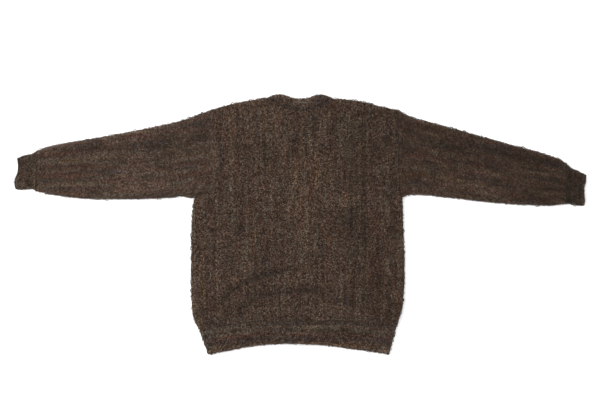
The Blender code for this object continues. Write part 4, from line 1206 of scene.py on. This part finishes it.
def horn():
    """Dark polished horn with soft paler clouds."""
    made, tree, shader = finish_of("polished_horn")
    place = node(tree, "ShaderNodeTexCoord", {}).outputs["Object"]
    stretched = node(tree, "ShaderNodeMapping", {"Vector": place, "Scale": (60.0, 260.0, 120.0)})
    cloud = node(tree, "ShaderNodeTexNoise", {"Vector": stretched.outputs["Vector"], "Scale": 1.0,
                                              "Detail": 4.0, "Distortion": 0.8})
    color = ramp(tree, cloud.outputs["Fac"], ((0.3, linear(38, 26, 20)), (0.55, linear(66, 44, 30)),
                                              (0.75, linear(112, 82, 54))))
    fine = node(tree, "ShaderNodeTexNoise", {"Vector": place, "Scale": 1500.0, "Detail": 2.0})
    scratches = fine.outputs["Fac"]
    worn = node(tree, "ShaderNodeMapRange", {"Value": scratches, "To Min": 0.25, "To Max": 0.42})
    relief = node(tree, "ShaderNodeBump", {"Strength": 0.15, "Distance": 0.0002, "Height": scratches})
    feed(tree, shader, {"Base Color": color, "Roughness": worn.outputs["Result"],
                        "Normal": relief.outputs["Normal"]})
    return made


def wear(piece, slot, *nodes):
    """Let a piece ride on the garment and stand for its solids, which are hidden. Its slot is not used."""
    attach(piece, "root")
    if nodes:
        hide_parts(*nodes)


def finish_sheet(piece, shell, points, layers, loops):
    """Let a sheet and its loops ride, and work out its width and length, the width going all round where it
    has two layers. Nothing uses them.
    """
    for part in loops:
        wear(part, piece.slot)
    wear(shell, piece.slot, piece.name)
    low, high = points.reshape(-1, 3).min(0) * MM, points.reshape(-1, 3).max(0) * MM
    width, length = float(high[0] - low[0]), float(high[1] - low[1])
    if layers == 2:
        width, length = 2.0 * length, width


# What a piece is and lies on, the seed and size of its loops, and the borders that carry them: free
# edges, and seams where it shows
Piece = namedtuple("Piece", "name slot rests_on seed size edges seams parts", defaults=(0, 0.0, (), (), 1))


def lay_over(piece, finish, x, y, top, under, relief, yarn):
    """A sheet with its fine side up, from the heights of its two smooth sides."""
    smooth_side = np.stack([x, y, top], -1)
    fine = smooth_side + normals_of(smooth_side) * relief[..., None]
    plain = np.stack([x, y, under], -1)
    shell = add_shell(piece.name + "_cloth", fine, plain, yarn, relief, kept(x.shape[1]), finish)
    finish_sheet(piece, shell, fine, 1, cover_with_loops(piece, fine, yarn, finish))


def lay_under(piece, finish, side, x, y, edge, hollows, rise, yarn):
    """A sheet with its fine side down, which rises from the table or from the band under it."""
    floor = front_floor(side, x, y, edge)
    top = floor + WALL - table_side(edge)
    fine = np.stack([x, y, np.minimum(floor + rise, top - THINNEST)], -1)
    plain = np.stack([x, y, top], -1)
    shell = add_shell(piece.name + "_cloth", fine, plain, yarn, -hollows, kept(x.shape[1]), finish)
    loops = [edge_loops(piece, fine, yarn, finish)] if piece.edges else []
    finish_sheet(piece, shell, fine, 1, loops)


def on_side(name, side):
    """Name of a piece of the wearer's left or right."""
    return name + ("_right" if side > 0 else "_left")


def both_sides(name):
    """Names of the cloth of a pair of pieces."""
    return [on_side(name, side) + "_cloth" for side in (LEFT, RIGHT)]


def lay_back(finish):
    """The back from the hem seam to the shoulders. What it returns is its lowest row."""
    middle = np.linspace(-NECK_HALF, NECK_HALF, int(2 * NECK_HALF / BACK_PITCH))
    rows = []
    for height in body_rows(BACK_PITCH, back_top):
        left, right = row_end(LEFT, height), row_end(RIGHT, height)
        if not rows:
            flank = spaced(right - NECK_HALF, BACK_PITCH, False, True)
        places = np.concatenate([-NECK_HALF + (left + NECK_HALF) * flank[::-1][:-1], middle,
                                 NECK_HALF + (right - NECK_HALF) * flank[1:]])
        rows.append(np.stack([places, height(places)], -1))
    plan = np.array(rows)
    x, y = plan[..., 0], plan[..., 1]
    floor, edge = back_floor(x, y), free_edge(x, y)
    troughs = crease_lift(BACK_CREASES, x, y)
    creases = troughs + SWELL_HEIGHT * swell(x, y, SWELL, BACK_SWELL_SEED)
    seams = np.minimum(y - y_at(HEM_SEAM, x), back_top(x) - y + np.where(np.abs(x) <= NECK_HALF, 0.0, FAR))
    seams = np.where(y > UNDERARM[LEFT].y, np.minimum(seams, beside(x, y)), seams)
    top = floor + top_wall(edge) + creases - seam_dip(seams)
    under = floor + np.maximum(UNDER_CREASE * creases, -fold_lift(BACK_FOLDS, x, y))
    relief = yarn_relief(x, y, BACK_SEEDS.knobs) * calmer(np.minimum(seams, edge), BACK_CALM)
    # The tones carry painted shade in the crease troughs, painted highlight on their ridges and a painted
    # sheen near the free edges
    tones = dyed_and_painted(BODY_DYES_AND_PAINTED_LIGHT, BODY_TONE, x, y, BACK_SEEDS.dye) * painted_edge_sheen(edge) * crease_painted_shade(troughs)
    low = y[:, 0] < UNDERARM[LEFT].y
    low_rows, high_rows = np.flatnonzero(low), np.flatnonzero(~low)
    shoulders = [np.flatnonzero(side * x[-1] > NECK_HALF) for side in (LEFT, RIGHT)]
    neck = np.flatnonzero(np.abs(x[-1]) <= NECK_HALF)
    edges = [along_column(x.shape, end, low_rows) for end in (0, -1)]
    edges += [along_row(x.shape, -1, columns) for columns in shoulders]
    joins = [along_row(x.shape, 0), along_row(x.shape, -1, neck)]
    joins += [along_column(x.shape, end, high_rows) for end in (0, -1)]
    piece = Piece("back", "body_knit", both_sides("front"), BACK_SEEDS.loops, LOOP_SIZE, edges, joins, 2)
    lay_over(piece, finish, x, y, top, under, relief, yarn_of(x, y, BACK_SEEDS.layer, tones))
    return plan[0]


def hem_plan(top_row, keep, pitch):
    """Plan of a run of the hem band under a panel's lowest row, drawn in beside the stretch it keeps."""
    low, high = keep
    x, y = top_row[:, 0], top_row[:, 1]
    left_share = (low - HEM_EDGE[0].x) / (low - HEM_SEAM[0].x)
    right_share = (HEM_EDGE[-1].x - high) / (HEM_SEAM[-1].x - high)
    foot = np.where(x > high, high + (x - high) * right_share, x)
    foot = np.where(x < low, low - (low - x) * left_share, foot)
    across = spaced(HEM_DEPTH, pitch)[:, None]
    return blend(foot, x, across), blend(y_at(HEM_EDGE, foot), y - 2 * GAP, across)


def lay_hem_back(top_row, finish):
    """The hem band's run under the back."""
    x, y = hem_plan(top_row, (-NECK_HALF, NECK_HALF), RIB_PITCH)
    floor, edge, below = back_floor(x, y), hem_edge(x, y), y_at(HEM_SEAM, x) - y
    swelling = HEM_SWELL_HEIGHT * swell(x, y, HEM_SWELL, HEM_SWELL_SEED)
    top = floor + top_wall(edge, HEM_ROUND) + swelling - seam_dip(below)
    relief = yarn_relief(x, y, HEM_BACK_SEEDS.knobs, HEM_SCALE) * calmer(np.minimum(below, edge), HEM_CALM)
    # painted sheen near the free edges
    tones = dyed_and_painted(HEM_DYES, BAND_TONE, below, x, HEM_BACK_SEEDS.dye) * painted_edge_sheen(edge)
    edges = [along_row(x.shape, 0), along_column(x.shape, 0), along_column(x.shape, -1)]
    piece = Piece("hem_back", "band_knit", both_sides("hem_front"), HEM_BACK_SEEDS.loops, BAND_LOOP_SIZE,
                  edges, [along_row(x.shape, -1)])
    lay_over(piece, finish, x, y, top, floor, relief, yarn_of(below, x, HEM_BACK_SEEDS.layer, tones))


def lay_neckband(finish):
    """The strip along the back of the neck."""
    places = -NECK_TIP + 2 * NECK_TIP * spaced(2 * NECK_TIP, NECK_PITCH.x)
    across = spaced(NECK_EDGE_Y - NECK_SEAM_Y, NECK_PITCH.y)[:, None]
    x = np.broadcast_to(places, (len(across), len(places)))
    y = blend(neck_seam(x), neck_edge(x), across)
    floor, edge, above = back_floor(x, y), neck_edge(x) - y, y - neck_seam(x)
    roll = HUMP_ROLL * bump(np.abs(x) - HUMP_OFFSET, HUMP_HALF)
    wall = blend(EDGE_WALL, WALL + roll, round_off(edge, NECKBAND_ROUND))
    deeper = sum((extra * bump(x - at, half) for at, half, extra in NECK_DIPS), 1.0)
    top = floor + wall - seam_dip(above) * np.minimum(NECK_DEEPEST, deeper)
    relief = yarn_relief(x, y, NECK_SEEDS.knobs, NECK_SCALE) * calmer(edge, NECK_CALM)
    # painted sheen near the free edges
    tones = dyed_and_painted(NECK_DYES_AND_SHADOWS, BAND_TONE, above, x, NECK_SEEDS.dye) * painted_edge_sheen(edge)
    piece = Piece("neckband", "band_knit", both_sides("front_band"), NECK_SEEDS.loops, BAND_LOOP_SIZE,
                  [along_row(x.shape, -1)], [along_row(x.shape, 0)])
    lay_over(piece, finish, x, y, top, floor, relief, yarn_of(above, x, NECK_SEEDS.layer, tones))


def front_inner(side, y):
    """Edge of a front panel along its band."""
    return band_middle(side, y) + side * (band_half(y) + GAP)


def front_floor(side, x, y, edge):
    """Under side of a bottom layer. The wearer's right side climbs on to the left band."""
    return table_side(edge) + (crossing(x, y) if side == RIGHT else 0.0)


INNER_ROUNDS = 8  # how often the end of a front's row is looked for again, as it depends on its own height


def lay_front(side, finish):
    """A front panel on the table, with its fine side down. What it returns is its lowest row."""
    rows = []
    for height in body_rows(FRONT_PITCH, shoulder):
        outer = row_end(side, height)
        inner = front_inner(side, 0.0)
        for _ in range(INNER_ROUNDS):
            inner = front_inner(side, height(inner))
        if not rows:
            even = spaced(abs(outer - inner), FRONT_PITCH)
        places = inner + (outer - inner) * even
        rows.append(np.stack([places, height(places)], -1)[::side])
    plan = np.array(rows)
    x, y = plan[..., 0], plan[..., 1]
    edge = free_edge(x, y)
    seams = np.minimum(y - y_at(HEM_SEAM, x), side * (x - front_inner(side, y)))
    hollows = hidden_relief(x, y, FRONT_SEEDS.knobs + side, np.minimum(seams, edge))
    rise = hollows - np.minimum(0.0, crease_lift(FRONT_CREASES, x, y)) + HIDDEN_DIP * seam_dip(seams)
    # painted sheen near the free edges
    tones = dyed_and_painted(BODY_DYES_AND_PAINTED_LIGHT, BODY_TONE, -x, y, FRONT_SEEDS.dye) * painted_edge_sheen(edge)
    low_rows = np.flatnonzero(y[:, OUTER[side]] < UNDERARM[LEFT].y)
    piece = Piece(on_side("front", side), "body_knit", ["floor"], FRONT_SEEDS.loops + side, LOOP_SIZE,
                  [along_column(x.shape, OUTER[side], low_rows)])
    lay_under(piece, finish, side, x, y, edge, hollows, rise, yarn_of(x, y, FRONT_SEEDS.layer, tones))
    return plan[0]


def lay_hem_front(side, top_row, finish):
    """The hem band's run under a front panel."""
    inner = float(front_inner(side, np.array(HEM_EDGE[0].y)))
    x, y = hem_plan(top_row, (inner, inner), BAND_PITCH)
    edge, below = hem_edge(x, y), y_at(HEM_SEAM, x) - y
    hollows = hidden_relief(x, y, HEM_FRONT_SEEDS.knobs + side, np.minimum(below, edge))
    rise = hollows + HIDDEN_DIP * seam_dip(below)
    # painted sheen near the free edges
    tones = dyed_and_painted(HEM_DYES, BAND_TONE, below, -x, HEM_FRONT_SEEDS.dye) * painted_edge_sheen(edge)
    piece = Piece(on_side("hem_front", side), "band_knit", ["floor"], HEM_FRONT_SEEDS.loops + side,
                  BAND_LOOP_SIZE, [along_row(x.shape, 0), along_column(x.shape, OUTER[side])])
    yarn = yarn_of(below, x, HEM_FRONT_SEEDS.layer, tones)
    lay_under(piece, finish, side, x, y, edge, hollows, rise, yarn)


def button_places():
    """Middles of the buttons, evenly spaced down the front."""
    return [Point(BAND_X, blend(BUTTON_FIRST_Y, BUTTON_LAST_Y, k / (BUTTON_COUNT - 1)))
            for k in range(BUTTON_COUNT)]


def lay_band(side, finish):
    """A front band from the hem edge to the shoulder, with its fine side down."""
    lengthways = spaced(V_TOP_Y - HEM_EDGE_Y, BAND_PITCH)[:, None]
    across = spaced(2 * BAND_HALF, BAND_PITCH)[None, :]
    level = blend(y_at(HEM_EDGE, np.array(BAND_X)), shoulder(np.array(side * BAND_LEAN)), lengthways)
    x = band_middle(side, level) + band_half(level) * blend(-1.0, 1.0, across)
    level = np.broadcast_to(level, x.shape)
    ends = blend(y_at(HEM_EDGE, x[:1]), neck_edge(x[-1:]) - GAP, lengthways)
    y = np.where(lengthways < 0.5, blend(ends, level, smooth(lengthways, 0.0, BAND_END_SHARE)),
                 blend(level, ends, smooth(lengthways, 1.0 - BAND_END_SHARE, 1.0)))
    edge = np.maximum(0.0, np.minimum(y - y_at(HEM_EDGE, x), neck_edge(x) - GAP - y))
    inside = band_half(y) - np.abs(x - band_middle(side, y))
    hollows = hidden_relief(x, y, FRONT_BAND_SEEDS.knobs + side, np.minimum(inside, edge))
    rise = hollows + HIDDEN_DIP * seam_dip(inside)
    if side == LEFT:
        for place in button_places():
            reach = np.hypot(x - place.x, y - place.y) - BUTTON_RADIUS
            rise = np.maximum(rise, (BUTTON_THICK + GAP) * (1.0 - smooth(reach, *BUTTON_DENT)))
    from_edge = (x - band_middle(side, y) + BAND_HALF) * BAND_DYE_SHRINK
    tones = dyed_and_painted(HEM_DYES, BAND_TONE, from_edge, y, FRONT_BAND_SEEDS.dye)
    piece = Piece(on_side("front_band", side), "band_knit",
                  ["floor"] if side == LEFT else ["front_band_left_cloth"])
    yarn = yarn_of(x, y, FRONT_BAND_SEEDS.layer + side * BAND_LAYER_STEP, tones)
    lay_under(piece, finish, side, x, y, edge, hollows, rise, yarn)


def armhole(side, shares):
    """Edge of a sleeve along its armhole, just outside the body's edge."""
    low, high = UNDERARM[side].y, SHOULDERS[OUTER[side]].y
    y = blend(low, high, shares)
    above, below = np.minimum(high, y + NORMAL_REACH), np.maximum(low, y - NORMAL_REACH)
    run, rise = body_edge(side, above) - body_edge(side, below), above - below
    length = np.hypot(run, rise)
    return np.stack([body_edge(side, y) + side * ARMHOLE_GAP * rise / length,
                     y - side * ARMHOLE_GAP * run / length], -1)


def patch(low, high, start, end, stations, shares):
    """Grid of points spanned by four edges: along from start to end, across from low to high."""
    s, c = stations[:, None, None], shares[None, :, None]
    crossways, lengthways = blend(low[:, None], high[:, None], c), blend(start[None], end[None], s)
    near, far = blend(low[0], low[-1], s), blend(high[0], high[-1], s)
    return crossways + lengthways - blend(near, far, c)


Tube = namedtuple("Tube", "name slot length free_end scale seed loop_size tone dyes crown folds creases",
                  defaults=((), ()))


def tube_inside(plan, shares, span, top, mouth):
    """Roof and floor of a tube's hollow, which stops short of the tube's two edges."""
    inset = SEAM_INSET / span
    share = blend(inset, 1.0 - inset, shares[None])
    x, y = (np.array([np.interp(at, shares, line) for at, line in zip(share, plan[..., axis])])
            for axis in (0, 1))
    edge = np.minimum(share, 1.0 - share) * span
    smooth_top = blend(TUBE_MIDDLE, top - mouth, round_off(edge, TOP_ROUND))
    roof = np.maximum(smooth_top - WALL + mouth, TUBE_MIDDLE + GAP / 2)
    roof[:, [0, -1]] = TUBE_MIDDLE
    floor = np.minimum(blend(TUBE_MIDDLE, 0.0, round_off(edge, FLOOR_ROUND)) + WALL, TUBE_MIDDLE - GAP / 2)
    return np.stack([x, y, roof], -1), np.stack([x, y, floor], -1)


def lay_tube(side, plan, stations, shares, finish, kind):
    """A sleeve or cuff laid flat: a fine upper side, a coarser under side and a plain hollow."""
    length, free_end, scale, seed = kind.length, kind.free_end, kind.scale, kind.seed
    x, y = plan[..., 0], plan[..., 1]
    span = np.hypot(x[:, -1] - x[:, 0], y[:, -1] - y[:, 0])[:, None]
    travel = np.broadcast_to((stations * length)[:, None], x.shape)
    percent = np.broadcast_to(100.0 * shares, x.shape)
    across, edge = (shares - 0.5) * span, np.minimum(shares, 1.0 - shares) * span
    ends = travel if free_end else np.minimum(travel, length - travel)
    mouth = MOUTH_DROP * (1.0 - round_off(length - travel, MOUTH_ROUND)) if free_end else 0.0
    top = y_at(kind.crown, stations)[:, None]
    troughs = crease_lift(kind.creases, x, y)
    soft = troughs + scale * SWELL_HEIGHT * swell(x, y, SWELL, seed + TUBE_SWELL_SEED)
    lift = fold_lift(kind.folds, x, y) * smooth(edge, *TUBE_FOLD_REACH)
    lift = lift + soft * smooth(edge, *TUBE_CREASE_REACH)
    upper = blend(TUBE_MIDDLE, top + lift - seam_dip(ends) - mouth, round_off(edge, TOP_ROUND))
    fast, slow = (travel, across) if free_end else (across, travel)
    flat = smooth(edge, *TUBE_HOLLOW_REACH)
    hollows = (HIDDEN_KNOB * (1.0 - knobs(slow, fast, KNOB, seed + TUBE_HOLLOW_SEED))) * flat
    under = blend(TUBE_MIDDLE, 0.0, round_off(edge, FLOOR_ROUND)) + hollows
    under = under + TUBE_DIP * seam_dip(ends) * flat
    keep_under = np.array(kept(len(shares), 2))[-2:0:-1]

    def ring(values_up, values_down):
        return np.concatenate([values_up, values_down[:, keep_under]], 1)

    base = ring(np.stack([x, y, upper], -1), np.stack([x, y, under], -1))
    bumps = yarn_relief(fast, slow, seed, scale)
    relief = ring(bumps * calmer(np.minimum(ends, edge + TUBE_EDGE_LIFT), TUBE_CALM), np.zeros(x.shape))
    fine = base + normals_of(base, True) * -side * relief[..., None]
    plain = ring(*tube_inside(plan, shares, span, top, mouth))
    place = (travel, percent) if free_end else (percent, travel)
    brink = np.minimum(edge, length - travel) if free_end else edge
    # The tones carry painted shade in the crease troughs, painted highlight on their ridges and a painted
    # sheen near the free edges
    tones = dyed_and_painted(kind.dyes, kind.tone, *place, seed * TUBE_DYE_STEP) * painted_edge_sheen(brink) * crease_painted_shade(troughs)
    layer = seed * TUBE_LAYER_STEP
    yarn = ring(yarn_of(fast, slow, layer, tones), yarn_of(fast, slow, layer + TUBE_LAYER, tones))
    columns = sorted(set(kept(len(shares))) | set(range(len(shares), fine.shape[1], 2)))
    name = on_side(kind.name, side)
    shell = add_shell(name + "_cloth", fine, plain, yarn, ring(bumps, -hollows), columns, finish, True)
    edges = [along_column(x.shape, 0), along_column(x.shape, -1)]
    joins = [along_row(x.shape, 0)]
    (edges if free_end else joins).append(along_row(x.shape, -1))
    piece = Piece(name, kind.slot, ["floor"], seed + TUBE_LOOP_SEED, kind.loop_size, edges, joins)
    loops = cover_with_loops(piece, fine, yarn, finish, True, -side, STEEPEST)
    finish_sheet(piece, shell, np.stack([x, y, x], -1), 2, loops)


def lay_sleeve(side, finish):
    """A sleeve from its armhole to its cuff."""
    tops, lows = SLEEVE_TOP[side], SLEEVE_LOW[side]
    length = abs(tops[-1].x - SHOULDERS[OUTER[side]].x)
    stations = spaced(length, SLEEVE_PITCH)
    shares = spaced(SHOULDERS[0].y - UNDERARM[LEFT].y, SLEEVE_PITCH)
    start = armhole(side, shares)
    low = along((Point(*start[0]),) + lows, stations)
    high = along((Point(*start[-1]),) + tops, stations)
    end = blend(np.array(lows[-1]), np.array(tops[-1]), shares[:, None])
    kind = Tube("sleeve", "sleeve_knit", length, False, SLEEVE_SCALE, SLEEVE_SEED + side, LOOP_SIZE,
                SLEEVE_TONE_AND_SHADE[side], SLEEVE_DYES_AND_HIGHLIGHT[side], SLEEVE_CROWN, SLEEVE_FOLDS[side], SLEEVE_CREASES[side])
    lay_tube(side, patch(low, high, start, end, stations, shares), stations, shares, finish, kind)


def lay_cuff(side, finish):
    """A cuff from its sleeve to its open end."""
    tops, lows = CUFF_TOP[side], CUFF_LOW[side]
    length = abs(tops[-1].x - tops[0].x)
    stations, shares = spaced(length, CUFF_PITCH), spaced(tops[0].y - lows[0].y, CUFF_PITCH)
    start, end = blend(np.array(lows[0]), np.array(tops[0]), shares[:, None]), along(CUFF_END[side], shares)
    plan = patch(along(lows, stations), along(tops, stations), start, end, stations, shares)
    kind = Tube("cuff", "band_knit", length, True, CUFF_SCALE, CUFF_SEED + side, CUFF_LOOP_SIZE,
                CUFF_TONE_AND_SHADE[side], CUFF_DYES[side], CUFF_CROWN)
    lay_tube(side, plan, stations, shares, finish, kind)


def sew_on(name, place, finish):
    """Two stitches of yarn through the four holes of a button, with their ends in the band."""
    path = np.array(STITCH)
    run = np.gradient(path, axis=0)
    run /= np.linalg.norm(run, axis=1, keepdims=True)
    spin = 2.0 * pi * np.arange(STITCH_SIDES) / STITCH_SIDES
    rings, faces = [], []
    for across in (-HOLE_OFFSET, HOLE_OFFSET):
        first = len(rings) * len(path) * STITCH_SIDES
        x = place.x + across + STITCH_RADIUS * np.cos(spin) + np.zeros((len(path), 1))
        y = place.y + path[:, :1] - run[:, 1:] * STITCH_RADIUS * np.sin(spin)
        z = path[:, 1:] + run[:, :1] * STITCH_RADIUS * np.sin(spin)
        rings.append(np.stack([x, y, z], -1))
        last = first + (len(path) - 1) * STITCH_SIDES
        faces += quads_of(len(path), STITCH_SIDES, first, True)
        faces += [list(range(start, start + STITCH_SIDES)) for start in (first, last)]
    corners = np.concatenate(rings).reshape(-1, 3)
    yarn = np.concatenate([corners, np.ones(corners.shape)], 1)
    return add_mesh(name, corners, faces, yarn, np.full(len(corners), STITCH_TINT), finish)


def drill_hole(button, x, y):
    """Bore one hole through a button."""
    work = bmesh.new()
    bmesh.ops.create_cone(work, cap_ends=True, segments=HOLE_SIDES, radius1=HOLE_RADIUS * MM,
                          radius2=HOLE_RADIUS * MM, depth=DRILL_LENGTH * MM)
    bmesh.ops.translate(work, verts=work.verts, vec=(x * MM, y * MM, 0))
    drill = placed("drill", mesh_of("drill", work))
    step = button.modifiers.new("hole", "BOOLEAN")
    step.object = drill
    bpy.context.view_layer.update()
    bored = bpy.data.meshes.new_from_object(button.evaluated_get(bpy.context.evaluated_depsgraph_get()))
    button.modifiers.remove(step)
    button.data = bored
    bpy.data.objects.remove(drill)


def lay_buttons(finish, thread):
    """Turned four-hole buttons with a sunk middle, set in the dents of the left band."""
    for number, place in enumerate(button_places(), 1):
        work = bmesh.new()
        corners = [work.verts.new((p.x * MM, 0.0, p.y * MM)) for p in BUTTON_OUTLINE]
        edges = [work.edges.new(pair) for pair in zip(corners, corners[1:])]
        bmesh.ops.spin(work, geom=corners + edges, cent=(0, 0, 0), axis=(0, 0, 1), angle=2 * pi,
                       steps=BUTTON_STEPS)
        bmesh.ops.remove_doubles(work, verts=work.verts, dist=1e-6)
        bmesh.ops.recalc_face_normals(work, faces=work.faces)
        name = f"horn_button_{number}"
        button = placed(name, mesh_of(name, work))
        for x in (-HOLE_OFFSET, HOLE_OFFSET):
            for y in (-HOLE_OFFSET, HOLE_OFFSET):
                drill_hole(button, x, y)
        mesh = button.data
        mesh.transform(Matrix.Translation((place.x * MM, place.y * MM, 0.0)))
        mesh.shade_smooth()
        mesh.set_sharp_from_angle(angle=SHARP_ANGLE)
        mesh.materials.clear()
        mesh.materials.append(finish)
        wear(button, "button", f"button_{number}")
        wear(sew_on(f"stitches_{number}", place, thread), "band_knit")


# Light, floor and camera, in metres
SKY = 1.25
KEY_PLACE = (-3.1, 1.3, 2.5)
KEY_SIZE = 1.3
KEY_POWER = 160.0
FLOOR_SIZE = 4.0
FLOOR_Z = -0.0003
FLOOR_SHADES = ((0.3, 0.93), (0.7, 0.95))
CAMERA_PLACE = (-0.0008, 0.0395, 4.0)
VIEW_WIDTH = 1.65
FILM_WIDTH = 36.0


def studio():
    """Pale floor, soft light from the upper left and a camera straight above."""
    scene = bpy.context.scene
    scene.view_settings.view_transform = "Standard"
    world = bpy.data.worlds.new("studio")
    world.use_nodes = True
    feed(world.node_tree, world.node_tree.nodes["Background"],
         {"Color": (1.0, 1.0, 1.0, 1.0), "Strength": SKY})
    scene.world = world

    work = bmesh.new()
    bmesh.ops.create_grid(work, x_segments=1, y_segments=1, size=FLOOR_SIZE)
    floor = placed("floor", mesh_of("floor", work))
    floor.location.z = FLOOR_Z
    paper, tree, shader = finish_of("floor_paper")
    grain = node(tree, "ShaderNodeTexNoise", {"Scale": 300.0, "Detail": 3.0}).outputs["Fac"]
    feed(tree, shader, {"Base Color": ramp(tree, grain, FLOOR_SHADES), "Roughness": 0.9,
                        "Specular IOR Level": 0.1})
    floor.data.materials.append(paper)

    light = bpy.data.lights.new("key", "AREA")
    light.energy = KEY_POWER
    light.size = KEY_SIZE
    lamp = placed("key", light)
    lamp.location = KEY_PLACE
    lamp.rotation_euler = Vector(KEY_PLACE).to_track_quat("Z", "Y").to_euler()

    camera = placed("camera", bpy.data.cameras.new("camera"))
    camera.location = CAMERA_PLACE
    camera.data.lens = FILM_WIDTH * CAMERA_PLACE[2] / VIEW_WIDTH
    scene.camera = camera


def main():
    """Set up the studio and the finishes, and lay the garment from its back to its buttons."""
    studio()
    body = knit("body_bouclette", BROAD_STREAK, offset=0.0, light=0.738, contrast=0.99, faint=0.16)
    sleeve = knit("sleeve_bouclette", BROAD_STREAK, offset=40.0, light=0.735, contrast=0.76, faint=0.10)
    band = knit("band_bouclette", BAND_STREAK, offset=80.0, light=0.745, contrast=0.98, faint=0.11)
    polished = horn()
    lay_hem_back(lay_back(body), band)
    lay_neckband(band)
    for side in (LEFT, RIGHT):
        lay_hem_front(side, lay_front(side, body), band)
        lay_band(side, band)
        lay_sleeve(side, sleeve)
        lay_cuff(side, band)
    lay_buttons(polished, band)


main()
